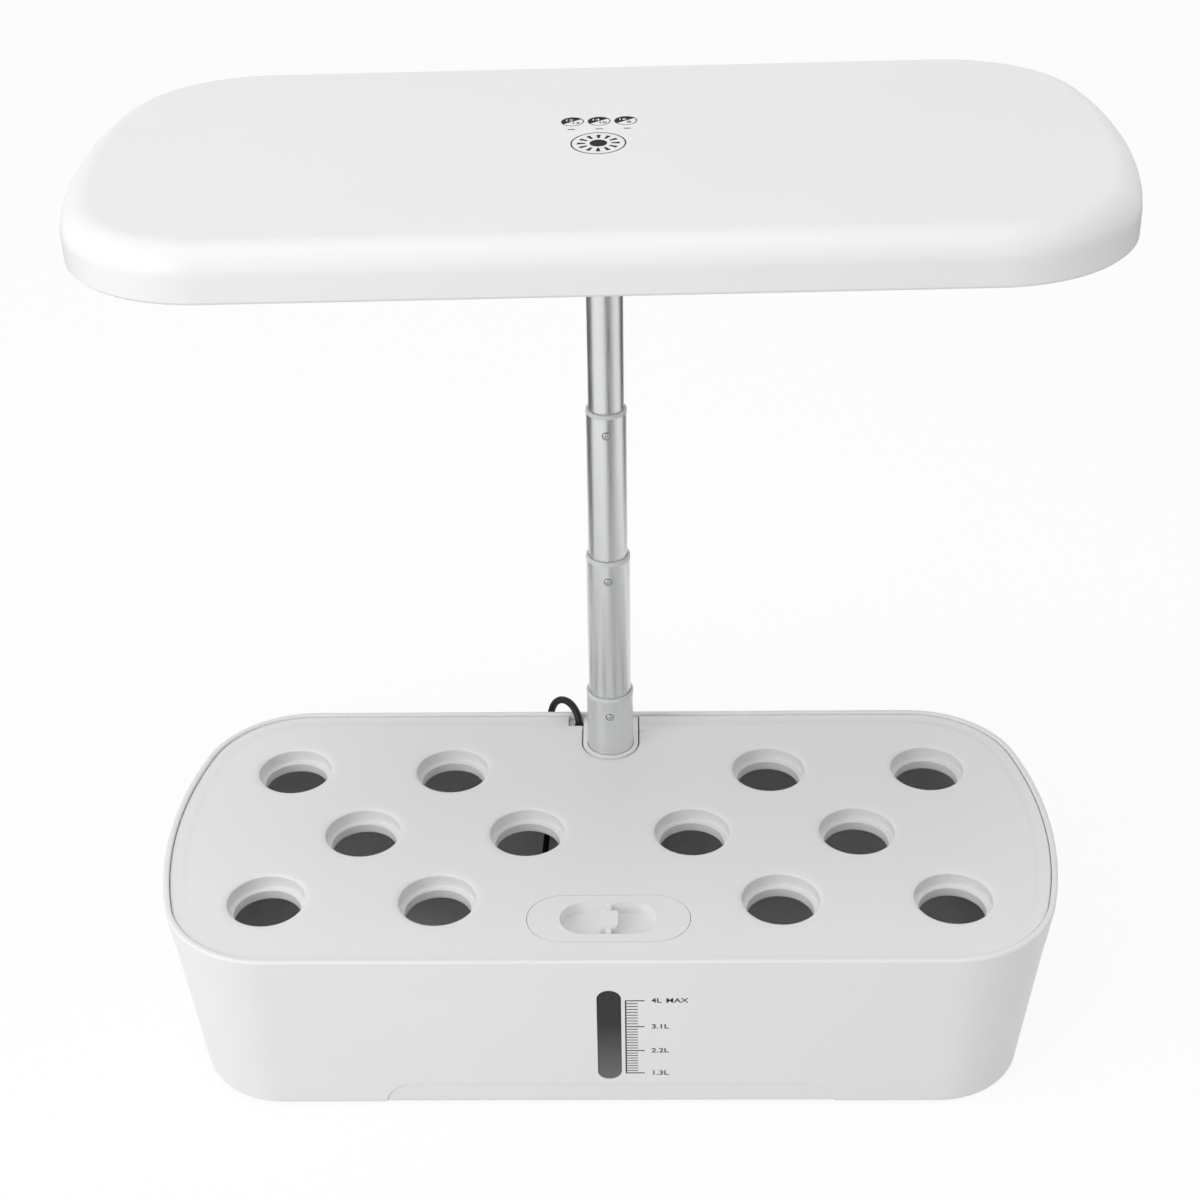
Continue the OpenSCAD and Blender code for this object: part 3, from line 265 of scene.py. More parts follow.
def toned(tree, shader, size, low, high):
    """Lets the colour drift between two tones over patches of that size in mm."""
    place = node(tree, "ShaderNodeTexCoord").outputs["Object"]
    pattern = {"Vector": place, "Scale": 1 / (size * MM), "Detail": 1.0}
    drift = node(tree, "ShaderNodeTexNoise", pattern).outputs[0]
    mix = node(tree, "ShaderNodeMix", {0: drift, 6: srgb(low), 7: srgb(high)}, data_type="RGBA")
    tree.links.new(mix.outputs[2], shader.inputs["Base Color"])


# Satin white ABS from a spark-eroded mould: a soft, wide sheen and a fine grain.
ABS_GRAIN = 0.5


def satin_abs():
    material, tree, shader = begin("satin_white_abs", "#ededed", 0.42)
    toned(tree, shader, 60, "#ececec", "#efefef")
    skin(tree, shader, ABS_GRAIN, 0.006, (0.38, 0.5), edge=0.3)
    return material


white_abs = satin_abs()
print("grain of the white ABS:", ABS_GRAIN, "mm")

# %% [markdown]
# ## The other finishes
# Each of these is named for the real stock it is made of. A drawn tube shows lines along its length,
# rubber is matt and slightly uneven, zinc plate is a little cloudy, and soft PVC has a faint orange-peel
# skin. The grain of each is given in millimetres.

# %% Metals, rubbers and plastics
# Drawn aluminium tube, satin anodised: a soft grey metal with die lines that run up the tube. The lines
# are drawn a third of a millimetre wide, coarser than real ones, so that they show at all.
def anodised_aluminium():
    material, tree, shader = begin("satin_anodised_aluminium", "#dfe0e1", 0.36, Metallic=1.0)
    toned(tree, shader, 30, "#dcddde", "#e2e3e4")
    skin(tree, shader, 0.35, 0.004, (0.28, 0.42), stretch=(1, 1, 0.02), edge=0.15)
    return material


# Acetal guide rings: a waxy, pale grey plastic that slides well.
def acetal():
    material, tree, shader = begin("grey_acetal", "#d3d5d6", 0.4, IOR=1.48)
    skin(tree, shader, 0.4, 0.003, (0.35, 0.45), edge=0.2)
    return material


# Stainless spring steel, bright rolled and then tumbled.
def spring_steel():
    material, tree, shader = begin("tumbled_spring_steel", "#bcbec0", 0.36, Metallic=1.0)
    skin(tree, shader, 0.3, 0.003, (0.3, 0.42), edge=0.1)
    return material


# Zinc-plated steel screws: bright, with a slight blue cloud.
def zinc_plate():
    material, tree, shader = begin("zinc_plated_steel", "#c2c6ca", 0.35, Metallic=1.0)
    toned(tree, shader, 3, "#b9bdc3", "#cacdcf")
    skin(tree, shader, 0.2, 0.003, (0.28, 0.45))
    return material


# Black nitrile rubber: matt, with the dull bloom that rubber gets.
def black_rubber():
    material, tree, shader = begin("matt_black_rubber", "#232325", 0.75)
    toned(tree, shader, 5, "#202022", "#28282a")
    skin(tree, shader, 0.3, 0.01, (0.68, 0.85))
    return material


# The jacket of a lead: soft PVC, extruded, so smooth with a low sheen.
def pvc_jacket():
    material, tree, shader = begin("black_pvc_jacket", "#141415", 0.42, Specular_IOR_Level=0.3)
    skin(tree, shader, 0.6, 0.012, (0.36, 0.48))
    return material


# Smoked cast acrylic, polished. Its colour carries painted shade and light: dark at its top and paler
# lower down, standing in for the inside of the tank that would show through it.
PAINTED_SHADE_LOW = 20 * MM
PAINTED_SHADE_HIGH = 52 * MM


def smoked_acrylic():
    material, tree, shader = begin("smoked_acrylic", "#4a4a4b", 0.2, IOR=1.49, Specular_IOR_Level=0.3)
    place = node(tree, "ShaderNodeTexCoord").outputs["Object"]
    height = node(tree, "ShaderNodeSeparateXYZ", {0: place}).outputs["Z"]
    rise = node(tree, "ShaderNodeMapRange", {0: height, 1: PAINTED_SHADE_LOW, 2: PAINTED_SHADE_HIGH}).outputs[0]
    # Painted shade and light: the colour runs from a pale tone low on the window to a dark one at its
    # top.
    tones = {0: rise, 6: srgb("#676767"), 7: srgb("#272728")}
    painted_window_shade = node(tree, "ShaderNodeMix", tones, data_type="RGBA")
    tree.links.new(painted_window_shade.outputs[2], shader.inputs["Base Color"])
    return material


# Clear acrylic sheet over the LEDs.
def clear_acrylic():
    clear_values = dict(IOR=1.49, Transmission_Weight=1.0)
    material, tree, shader = begin("clear_acrylic", "#f4f7f7", 0.03, **clear_values)
    skin(tree, shader, 40, 0.02, (0.02, 0.05))
    return material


# Smoked polycarbonate of the light pipes, dark until an LED below shines through.
def smoked_pipe():
    dim = dict(IOR=1.58, Specular_IOR_Level=0.2)
    material, tree, shader = begin("smoked_polycarbonate", "#2f3032", 0.35, **dim)
    skin(tree, shader, 0.2, 0.004, (0.3, 0.45))
    return material


aluminium = anodised_aluminium()
ring_acetal = acetal()
spring = spring_steel()
zinc = zinc_plate()
rubber = black_rubber()
jacket = pvc_jacket()
smoked = smoked_acrylic()
clear = clear_acrylic()
pipe = smoked_pipe()
print("finishes so far:", len(bpy.data.materials))

# %% [markdown]
# The parts inside have finishes of their own. A board shows its tracks as faint steps under the paint,
# and a brick pattern draws such steps at the spacing of real tracks. The pores of the foam are the cells
# of a Voronoi pattern. The rest differ from each other only in colour, grain and sheen, so one function
# takes those numbers and makes them all, and what a finish is stays in a comment beside its numbers.

# %% Boards, pump and adapter finishes
# A painted board: a white mask over aluminium for the LEDs, a green one over glass fibre for the rest.
def board(name, colour, ridge, track=2.4):
    material, tree, shader = begin(name, colour, 0.35)
    place = node(tree, "ShaderNodeTexCoord").outputs["Object"]
    tracks = node(tree, "ShaderNodeTexBrick", {
        "Vector": place, "Color1": srgb(colour), "Color2": srgb(colour), "Mortar": srgb(ridge),
        "Scale": 1 / (track * MM), "Mortar Size": 0.08, "Brick Width": 3.0, "Row Height": 1.0,
    })
    tree.links.new(tracks.outputs["Color"], shader.inputs["Base Color"])
    relief = {"Height": tracks.outputs["Fac"], "Distance": 0.03 * MM}
    step = node(tree, "ShaderNodeBump", relief, invert=True)
    tree.links.new(step.outputs[0], shader.inputs["Normal"])
    return material


# Silicone filled with yellow phosphor, over a blue LED.
def phosphor():
    milky = dict(IOR=1.41, Subsurface_Weight=0.2)
    material, tree, shader = begin("yellow_phosphor_gel", "#f0dc6a", 0.25, **milky)
    shader.inputs["Subsurface Radius"].default_value = (0.6 * MM, 0.4 * MM, 0.1 * MM)
    skin(tree, shader, 0.15, 0.004, (0.2, 0.35))
    return material


# Black ABS of the pump, moulded: a low, even sheen.
def black_abs():
    material, tree, shader = begin("black_abs", "#26282a", 0.5)
    skin(tree, shader, 0.5, 0.012, (0.44, 0.58), edge=0.3)
    return material


# Black polycarbonate with the coarse spark texture that hides scratches on a power adapter.
def textured_polycarbonate():
    material, tree, shader = begin("textured_polycarbonate", "#1f1f21", 0.55, IOR=1.58)
    skin(tree, shader, 0.9, 0.04, (0.48, 0.65), edge=0.5)
    return material


# Open-cell foam: cells about a millimetre wide in a grey web, with painted shade that darkens each cell
# towards its middle, where the foam is a hole.
def filter_foam():
    material, tree, shader = begin("filter_foam", "#35383a", 0.95)
    place = node(tree, "ShaderNodeTexCoord").outputs["Object"]
    pattern = {"Vector": place, "Scale": 1 / (1.2 * MM)}
    cells = node(tree, "ShaderNodeTexVoronoi", pattern).outputs["Distance"]
    # Painted shade: the colour is darkest in the middle of each cell, as shade inside the pores.
    tones = {0: cells, 6: srgb("#141516"), 7: srgb("#4b4f52")}
    web_and_painted_pore_shade = node(tree, "ShaderNodeMix", tones, data_type="RGBA")
    tree.links.new(web_and_painted_pore_shade.outputs[2], shader.inputs["Base Color"])
    pores = node(tree, "ShaderNodeBump", {"Height": cells, "Distance": 0.6 * MM}).outputs[0]
    tree.links.new(pores, shader.inputs["Normal"])
    return material


def small_finish(name, colour, grain, depth, rough, tone=None, **more):
    """A finish that differs from its neighbours only in its numbers."""
    material, tree, shader = begin(name, colour, rough[0], **more)
    if tone:
        toned(tree, shader, 4 * grain, colour, tone)
    skin(tree, shader, grain, depth, rough)
    return material


led_white = board("white_led_board", "#e6e8e7", "#d4d7d6")
board_green = board("green_circuit_board", "#2f6a41", "#3f8250", track=1.6)
gel = phosphor()
black_plastic = black_abs()
adapter_shell = textured_polycarbonate()
foam = filter_foam()
# Cast epoxy around the pump's coil: dark, glossy and slightly wavy.
potting = small_finish("epoxy_potting", "#3b2a1e", 6, 0.08, (0.12, 0.2), "#46331f", IOR=1.55)
# Ground alumina ceramic: an off-white, dense and fine surface.
ceramic = small_finish("ground_alumina", "#ebe7dd", 0.1, 0.001, (0.15, 0.25), "#f1eee6", IOR=1.76)
# Sintered ferrite: dark brown-grey and dull, with a speckle of grains.
ferrite = small_finish("sintered_ferrite", "#3a3533", 0.3, 0.01, (0.5, 0.7), "#4b4543")
# Natural acetal for the impeller: milky white.
milky_acetal = small_finish("natural_acetal", "#eeeeea", 0.5, 0.004, (0.35, 0.45), IOR=1.48)
# Soft grey PVC of the suction cups: smooth where it was moulded against steel.
soft_pvc = small_finish("soft_grey_pvc", "#63686a", 0.8, 0.006, (0.2, 0.32), "#6c7173", IOR=1.53)
# Nickel-plated brass of the plug's blades: warm and bright.
nickel = small_finish("nickel_plate", "#c9c5bb", 0.3, 0.002, (0.16, 0.26), Metallic=1.0)
# Nylon hook-and-loop strap: a short, dull pile.
strap = small_finish("nylon_strap", "#2a2a2c", 0.35, 0.08, (0.8, 0.95), "#3a3a3d", Sheen_Weight=0.3)
# Screen ink, baked: nearly matt, a few hundredths of a millimetre thick.
INK_ROUGH = (0.6, 0.7)
grey_ink = small_finish(
    "grey_screen_ink", "#3c3d3f", 0.3, 0.002, INK_ROUGH, "#434446", Specular_IOR_Level=0.2,
)
black_ink = small_finish(
    "black_screen_ink", "#101112", 0.3, 0.002, INK_ROUGH, "#17181a", Specular_IOR_Level=0.15,
)
white_ink = small_finish("white_screen_ink", "#f2f2f0", 0.3, 0.002, (0.45, 0.55))

# %% [markdown]
# ## The power cord
# A thin DC lead comes up through a grommet beside the mast, bends over the rim and drops behind the
# tank. The rest of its length is put away as a neat coil that lies on the table behind the tank, and it
# ends in a plug-in power adapter. The bend over the rim was chosen point by point. The coil is
# a rule: one layer wound inwards, a step up, and one layer wound outwards, a diameter apart. Drawing it
# as one open curve keeps its length true, which the frame measures.

# %% Cord route
CORD_D = 3.6 * MM
COIL_MIDDLE = mm(-72, 134, 0)
COIL_OUTER = 29 * MM
COIL_INNER = 11 * MM
COIL_LOW = CORD_D / 2
COIL_TURNS = 5
TURN_STEPS = 36
STEP_UP = (30, 90)

CORD_ROUTE = [
    (-0.0156, 0.0864, 0.0864), (-0.0156, 0.0864, 0.0874), (-0.0156, 0.0864, 0.0884),
    (-0.0157, 0.0867, 0.0906), (-0.0162, 0.0877, 0.0928), (-0.0174, 0.0898, 0.0949),
    (-0.0193, 0.0924, 0.0965), (-0.0218, 0.0949, 0.0972), (-0.0247, 0.0968, 0.0967),
    (-0.0271, 0.0981, 0.0947), (-0.0288, 0.0989, 0.0916), (-0.0299, 0.0994, 0.0874),
    (-0.0306, 0.0997, 0.081), (-0.0314, 0.1, 0.068), (-0.032, 0.1002, 0.055),
    (-0.0326, 0.1006, 0.042), (-0.0332, 0.101, 0.03), (-0.034, 0.102, 0.019),
    (-0.0352, 0.1042, 0.01), (-0.0372, 0.1082, 0.0046), (-0.0396, 0.1136, 0.0022),
    (-0.0414, 0.12, 0.0018), (-0.0426, 0.127, 0.0018), (-0.043, 0.134, 0.0018),
]
PLUG_ROUTE = [
    (-0.072, 0.163, 0.0054), (-0.078, 0.163, 0.0055), (-0.085, 0.163, 0.0064), (-0.092, 0.163, 0.009),
    (-0.098, 0.163, 0.0116), (-0.103, 0.163, 0.0128), (-0.108, 0.163, 0.013), (-0.114, 0.163, 0.013),
    (-0.125, 0.163, 0.013), (-0.138, 0.163, 0.013), (-0.152, 0.163, 0.013),
]


def smooth_path(route, steps):
    """Points on a smooth curve through a route."""
    points = [Vector(p) for p in route]
    ends = [points[0]] + points + [points[-1]]
    path = []
    for a, b, c, d in zip(ends, ends[1:], ends[2:], ends[3:]):
        for k in range(steps):
            t = k / steps
            bend = (2 * a - 5 * b + 4 * c - d) * t ** 2 + (3 * b - a - 3 * c + d) * t ** 3
            path.append(b + 0.5 * ((c - a) * t + bend))
    return path + [points[-1]]


def coil_path():
    """One layer of turns inwards, a step up on the inner turn, and one layer outwards."""
    step = 360 / TURN_STEPS
    layer = COIL_TURNS * 360
    inwards = layer + STEP_UP[0]
    rise = STEP_UP[1] - STEP_UP[0]
    wide = COIL_OUTER - COIL_INNER
    path = []
    for i in range(1, round((2 * layer + STEP_UP[1]) / step)):
        angle = i * step
        radius = COIL_INNER + wide * max(0, 1 - angle / inwards)
        climb = min(1, max(0, (angle - inwards) / rise))
        if climb == 1:
            radius += wide * (angle - inwards - rise) / layer
        lift = CORD_D * climb * climb * (3 - 2 * climb)
        turn = math.radians(angle)
        spoke = Vector((radius * math.cos(turn), radius * math.sin(turn), COIL_LOW + lift))
        path.append(COIL_MIDDLE + spoke)
    return path


def path_length(path):
    return sum((b - a).length for a, b in zip(path, path[1:]))


def round_lead(name, path, diameter, finish):
    """A round lead along a path, as a curve of one open spline."""
    curve = bpy.data.curves.new(name, "CURVE")
    curve.dimensions = "3D"
    curve.bevel_depth = diameter / 2
    curve.bevel_resolution = 4
    curve.use_fill_caps = True
    line = curve.splines.new("POLY")
    line.points.add(len(path) - 1)
    for point, place in zip(line.points, path):
        point.co = (*place, 1)
    curve.materials.append(finish)
    return as_object(name, curve)


cord_line = smooth_path(CORD_ROUTE, 3) + coil_path() + smooth_path(PLUG_ROUTE, 3)

# %% [markdown]
# The lead enters the adapter through a ribbed, tapered sleeve that stops it from kinking. Such a sleeve
# is round, so its outline is turned about the lead, with a groove between each pair of ribs.

# %% Turning a round piece
def turned(name, outline, place, axis, steps=48):
    """A closed mesh made by turning an outline of (along, radius) pairs about an axis from a place."""
    shape = bmesh.new()
    rings = []
    turn = axis.to_track_quat("Z", "Y").to_matrix()
    for along, radius in outline:
        ring = []
        for k in range(steps if radius > 0 else 1):
            angle = 2 * math.pi * k / steps
            spoke = Vector((radius * math.cos(angle), radius * math.sin(angle), along))
            ring.append(shape.verts.new(place + turn @ spoke))
        rings.append(ring)
    for low, high in zip(rings, rings[1:]):
        for k in range(steps):
            sides = [low[k % len(low)], low[(k + 1) % len(low)]]
            sides += [high[(k + 1) % len(high)], high[k % len(high)]]
            corners = list(dict.fromkeys(sides))
            if len(corners) > 2:
                shape.faces.new(corners)
    bmesh.ops.recalc_face_normals(shape, faces=shape.faces)
    return as_mesh(name, shape)


RELIEF_RIBS = 6
RIB_DEPTH = 0.45 * MM
BORE_DEPTH = 9 * MM


def make_strain_relief():
    low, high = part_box("strain_relief")
    middle = (low + high) / 2
    length = high.x - low.x
    wide, narrow = (high.z - low.z) / 2, CORD_D / 2 + 0.7 * MM
    bore = CORD_D / 2 + 0.02 * MM
    outline = [(0, 0), (0, wide)]
    for i in range(RELIEF_RIBS):
        for share, groove in ((0.12, 0), (0.3, 1), (0.7, 1), (0.88, 0)):
            along = (i + share) / RELIEF_RIBS
            outline.append((along * length, wide + (narrow - wide) * along - groove * RIB_DEPTH))
    sleeve = length - BORE_DEPTH
    outline += [(length, narrow - 0.1 * MM), (length, bore), (sleeve, bore), (sleeve, 0)]
    foot = Vector((low.x, middle.y, middle.z))
    mesh = turned("strain_relief", outline, foot, Vector((1, 0, 0)))
    return settle(shaded("strain_relief_finished", mesh, rubber), "base", "strain_relief")


relief = make_strain_relief()
adapter = dress("adapter_body", adapter_shell)
blades = dress("adapter_blades", nickel)
tie = dress("coil_tie", strap)
power_cord = round_lead("power_cord_lead", cord_line, CORD_D, jacket)
settle(power_cord, "base", "power_cord", "cord_coil", "plug_lead")

# %% [markdown]
# ## The floor, the world and the lamps
# A shop picture of a white thing on white needs soft light from one side, or the shape is lost. One
# lamp stands at the front left, a large one hangs high above, and the sky gives the rest. The floor and
# the sky are plain white where the camera sees them directly, and the floor keeps a share of real white
# paint, so that the garden still casts its soft shadow. A polished tube in an all-white room looks flat,
# so three dark cards lie on the floor, as a product photographer would lay them. Only gloss sees them.

# %% Stage
KEY_LIGHT = dict(place=(-1.2, -1.1, 0.8), size=0.9, power=10)
TOP_LIGHT = dict(place=(-0.3, -0.5, 2.6), size=1.6, power=13)
AIM = mm(0, 0, 200)
SKY_STRENGTH = 0.64
FLAG_HEIGHT = 2
FLAGS = {
    "front_flag": ((20, -1300), (560, -280)),
    "left_flag": ((-1300, 60), (-300, 1500)),
    "right_flag": ((320, 230), (1300, 1500)),
}
FLOOR_REACH = 4000
SHADOW_SHARE = 0.12


def empty_material(name):
    """A material without nodes, and the tree to put them in."""
    material = bpy.data.materials.new(name)
    material.use_nodes = True
    material.node_tree.nodes.clear()
    return material, material.node_tree


def stage_card(name, low, high, height, material):
    """A level rectangle between two corners, in mm, that belongs to the stage."""
    (x0, y0), (x1, y1) = low, high
    corners = [mm(x, y, height) for x, y in ((x0, y0), (x1, y0), (x1, y1), (x0, y1))]
    mesh = bpy.data.meshes.new(name)
    mesh.from_pydata(corners, [], [(0, 1, 2, 3)])
    mesh.materials.append(material)
    card = as_object(name, mesh)
    card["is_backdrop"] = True
    return card


def seen_directly(tree):
    """1 for rays from the camera, from gloss and through glass, and 0 for light that bounces."""
    rays = node(tree, "ShaderNodeLightPath").outputs
    sharp = {0: rays["Is Camera Ray"], 1: rays["Is Glossy Ray"]}
    first = node(tree, "ShaderNodeMath", sharp, operation="MAXIMUM").outputs[0]
    both = {0: first, 1: rays["Is Transmission Ray"]}
    return node(tree, "ShaderNodeMath", both, operation="MAXIMUM").outputs[0]


# White floor paint: a plain white to the eye, with a share of real paint that takes the shadow.
def white_floor_paint():
    material, tree = empty_material("white_floor_paint")
    bounced = node(tree, "ShaderNodeBsdfDiffuse", {"Color": srgb("#dedede")}).outputs[0]
    painted = node(tree, "ShaderNodeBsdfDiffuse", {"Color": srgb("#ffffff")}).outputs[0]
    glow = node(tree, "ShaderNodeEmission", {"Strength": 1.0}).outputs[0]
    seen = node(tree, "ShaderNodeMixShader", {0: SHADOW_SHARE, 1: glow, 2: painted}).outputs[0]
    both = node(tree, "ShaderNodeMixShader", {0: seen_directly(tree), 1: bounced, 2: seen})
    node(tree, "ShaderNodeOutputMaterial", {"Surface": both.outputs[0]})
    return material


# Black card: matt paper, dark grey rather than black once light falls on it.
def black_card():
    material, tree = empty_material("black_card")
    dark = node(tree, "ShaderNodeBsdfDiffuse", {"Color": srgb("#4a4a4a")}).outputs[0]
    node(tree, "ShaderNodeOutputMaterial", {"Surface": dark})
    return material


def make_sky():
    """A world that is plain white to look at and gives a softer light."""
    world = bpy.data.worlds.new("sky")
    scene.world = world
    world.use_nodes = True
    tree = world.node_tree
    strength = node(tree, "ShaderNodeMapRange", {0: seen_directly(tree), 3: SKY_STRENGTH, 4: 1.0})
    sky = tree.nodes["Background"]
    sky.inputs["Color"].default_value = srgb("#ffffff")
    tree.links.new(strength.outputs[0], sky.inputs["Strength"])


def hang_lamps():
    """Two square soft lamps, both aimed at the middle of the garden."""
    for name, light in (("key_light", KEY_LIGHT), ("top_light", TOP_LIGHT)):
        lamp = bpy.data.lights.new(name, "AREA")
        lamp.size = light["size"]
        lamp.energy = light["power"]
        made = as_object(name, lamp)
        made.location = light["place"]
        made.rotation_mode = "QUATERNION"
        made.rotation_quaternion = (AIM - made.location).to_track_quat("-Z", "Y")
        print(name, "at", light["place"], "with", light["power"], "W")


def lay_flags():
    """Dark cards that only gloss sees, so that round metal shows dark bands beside its highlights."""
    card = black_card()
    for name, (low, high) in FLAGS.items():
        flag = stage_card(name, low, high, FLAG_HEIGHT, card)
        flag.visible_camera = False
        flag.visible_diffuse = False
        flag.visible_transmission = False
        flag.visible_shadow = False


scene.view_settings.view_transform = "Standard"
floor_corners = (-FLOOR_REACH, -FLOOR_REACH), (FLOOR_REACH, FLOOR_REACH)
stage_card("floor", *floor_corners, 0, white_floor_paint())
make_sky()
hang_lamps()
lay_flags()

# %% [markdown]
# ## Tank and deck
# The tank is one deep moulding, and the deck that lifts off it is a flat one with twelve sleeves for the
# plant pods. Both have soft corners and slightly leaning walls, so that they leave the mould. Such
# shapes could be modelled again with bevels, but the solids hold every edge already, so a dressed copy
# is enough. The window is the one dark part: a smoked strip in a rubber gasket, with painted shade and
# light in its colour, dark at the top and paler below where the water would show.

# %% Tank and deck
for name, finish in (
    ("tank", white_abs), ("lid", white_abs), ("filler_cap", white_abs),
    ("water_window", smoked), ("window_gasket", rubber),
    ("mast_socket", white_abs), ("cable_grommet", rubber),
):
    dress(name, finish)

# %% [markdown]
# ## Copies made by Geometry Nodes
# Screws, feet and suction cups are each one shape in several places. A Geometry Nodes tree puts a copy
# of the shape on every point of a small mesh, so the places come from the solids and the shape is made
# once. The copies are realised at the end of the tree, because a hand-in holds meshes and not instances.

# %% A tree that copies
def new_tree(name, inputs):
    """A tree with a mesh in and out, and a named input for each value."""
    tree = bpy.data.node_groups.new(name, "GeometryNodeTree")
    tree.interface.new_socket("Geometry", in_out="INPUT", socket_type="NodeSocketGeometry")
    for label, kind in inputs.items():
        tree.interface.new_socket(label, in_out="INPUT", socket_type="NodeSocket" + kind)
    tree.interface.new_socket("Geometry", in_out="OUTPUT", socket_type="NodeSocketGeometry")
    return tree, node(tree, "NodeGroupInput").outputs


def end_tree(tree, geometry, finish):
    """Realises the copies and gives them their finish."""
    real = node(tree, "GeometryNodeRealizeInstances", {"Geometry": geometry}).outputs[0]
    done = node(tree, "GeometryNodeSetMaterial", {"Geometry": real, "Material": finish}).outputs[0]
    node(tree, "NodeGroupOutput", {"Geometry": done})


def grown(name, tree, points, **values):
    """The plain mesh that a tree makes on a mesh of points. values are the tree's own inputs."""
    carrier = as_object(name, points)
    modifier = carrier.modifiers.new("copies", "NODES")
    modifier.node_group = tree
    for item in tree.interface.items_tree:
        if item.in_out == "INPUT" and item.name in values:
            modifier[item.identifier] = values[item.name]
    return plain_mesh(carrier)


def copying_tree():
    tree, inputs = new_tree("copies_on_points", {"Item": "Object", "Finish": "Material"})
    item = node(tree, "GeometryNodeObjectInfo", {"Object": inputs["Item"]}).outputs["Geometry"]
    laid = {"Points": inputs["Geometry"], "Instance": item}
    copies = node(tree, "GeometryNodeInstanceOnPoints", laid).outputs[0]
    end_tree(tree, copies, inputs["Finish"])
    return tree


COPIES = copying_tree()


def solids_of(name, turn=Matrix()):
    """The lowest and highest corner of each separate solid in a node, after a turn."""
    shape = bmesh.new()
    shape.from_mesh(nodes[name].data)
    shape.transform(turn)
    bmesh.ops.remove_doubles(shape, verts=shape.verts, dist=MERGE)
    left = set(shape.verts)
    boxes = []
    while left:
        group, edge = set(), {left.pop()}
        while edge:
            group |= edge
            edge = {e.other_vert(v) for v in edge for e in v.link_edges} - group
        left -= group
        axes = list(zip(*[v.co for v in group]))
        boxes.append((Vector([min(a) for a in axes]), Vector([max(a) for a in axes])))
    shape.free()
    return sorted(boxes, key=lambda box: tuple(round(x, 5) for x in box[0]))


def copied(name, item_mesh, anchor, finish):
    """Copies of a mesh, one for each solid of a node. anchor is their height: 0 its foot, 1 its top."""
    places = []
    for low, high in solids_of(name):
        middle = (low + high) / 2
        places.append((middle.x, middle.y, low.z + (high.z - low.z) * anchor))
    points = bpy.data.meshes.new(name + "_places")
    points.from_pydata(places, [], [])
    item = as_object(name + "_item", item_mesh)
    mesh = grown(name, COPIES, points, Item=item, Finish=finish)
    bpy.data.objects.remove(item)
    print(name, "copies:", len(places), "faces:", len(mesh.polygons))
    return settle(shaded(name + "_finished", mesh, finish), body_of[name], name)


# %% [markdown]
# The lamp hangs on the mast with a lean of less than a degree, which is one matrix: a small turn about
# the top of the mast. Whatever is made for the lamp is made level and then leant with it.

# %% The lean of the lamp
LAMP_LEAN = math.radians(-0.8)
LEAN = Matrix.Rotation(LAMP_LEAN, 4, "Y")
HANG_POINT = Matrix.Translation(mm(0, 69.5, 396))
HUNG = HANG_POINT @ LEAN @ HANG_POINT.inverted()
LEVEL_LAMP = HUNG.inverted()
print("lean of the lamp:", round(math.degrees(LAMP_LEAN), 2), "degrees")

# %% [markdown]
# A pan-head screw is turned from one outline: a domed head, a short neck and a thread. The thread is a
# row of sharp ridges, which reads as a thread at this size. The cross in the head is cut by a boolean
# with two crossed blades that taper to a point, as the driver's bit does.

# %% Screws
THREAD_PITCH = 0.9 * MM
DOME_ANGLES = (1.4, 1.0, 0.5, 0)


def screw_outline(head_h, r, shank_l, s):
    """Half the section of a screw, from the top of its head to the tip of its shank."""
    outline = [(head_h, 0), (head_h, r * 0.5)]
    for a in DOME_ANGLES:
        outline.append((head_h * (0.45 + 0.55 * math.sin(a)), r * (0.62 + 0.38 * math.cos(a))))
    outline += [(0, r), (0, s)]
    for i in range(int((shank_l - s) / THREAD_PITCH)):
        top = -i * THREAD_PITCH - 0.3 * MM
        outline += [(top, s * 0.8), (top - THREAD_PITCH / 2, s)]
    return outline + [(-shank_l + s * 0.5, s * 0.75), (-shank_l, 0)]


def screw_mesh(head_d, head_h, shank_d, shank_l, up=1, leans=False):
    """A pan-head screw with the underside of its head at the origin. up=-1 drives it upwards."""
    r, s = head_d / 2, shank_d / 2
    outline = screw_outline(head_h, r, shank_l, s)
    body = as_object("screw", turned("screw", outline, Vector(), Vector((0, 0, 1)), steps=28))
    cutter = bmesh.new()
    for angle in (0, math.pi / 2):
        turn = Matrix.Rotation(angle, 4, "Z") @ Matrix.Translation((0, 0, head_h))
        shape = bmesh.ops.create_cone(
            cutter, cap_ends=True, segments=4, radius1=r * 0.12, radius2=r * 0.8, depth=head_h * 1.1,
            matrix=turn @ Matrix.Diagonal((1, 0.26, 1, 1)),
        )
        faces = {f for v in shape["verts"] for f in v.link_faces}
        bmesh.ops.recalc_face_normals(cutter, faces=list(faces))
    blade = as_object("driver_bit", as_mesh("driver_bit", cutter))
    cut = body.modifiers.new("cross", "BOOLEAN")
    cut.object = blade
    cut.use_self = True
    mesh = plain_mesh(body)
    bpy.data.objects.remove(blade)
    if up < 0:
        mesh.transform(Matrix.Rotation(math.pi, 4, "X"))
    if leans:
        mesh.transform(LEAN)
    return mesh


def head_share(name, head_h, up):
    """Where the underside of a screw's head lies, as a share of the screw's height."""
    low, high = solids_of(name)[0]
    share = head_h / (high.z - low.z)
    return 1 - share if up > 0 else share


for name, head_d, head_h, shank_d, shank_l, up in (
    ("socket_screws", 5.6, 1.8, 2.5, 8.5, 1),
    ("hub_screws", 5.4, 1.6, 2.5, 7.5, 1),
    ("lamp_screws", 5.6, 1.7, 2.4, 8.0, -1),
):
    sizes = [size * MM for size in (head_d, head_h, shank_d, shank_l)]
    screw = screw_mesh(*sizes, up=up, leans=body_of[name] == "lamp")
    copied(name, screw, head_share(name, head_h * MM, up), zinc)

# %% [markdown]
# ## Feet and suction cups
# Both are rubbery, round and made in fours. A foot has a shallow ring in its sole, which grips the
# table, and a suction cup is a thin bell with a stem, so each is one turned outline.

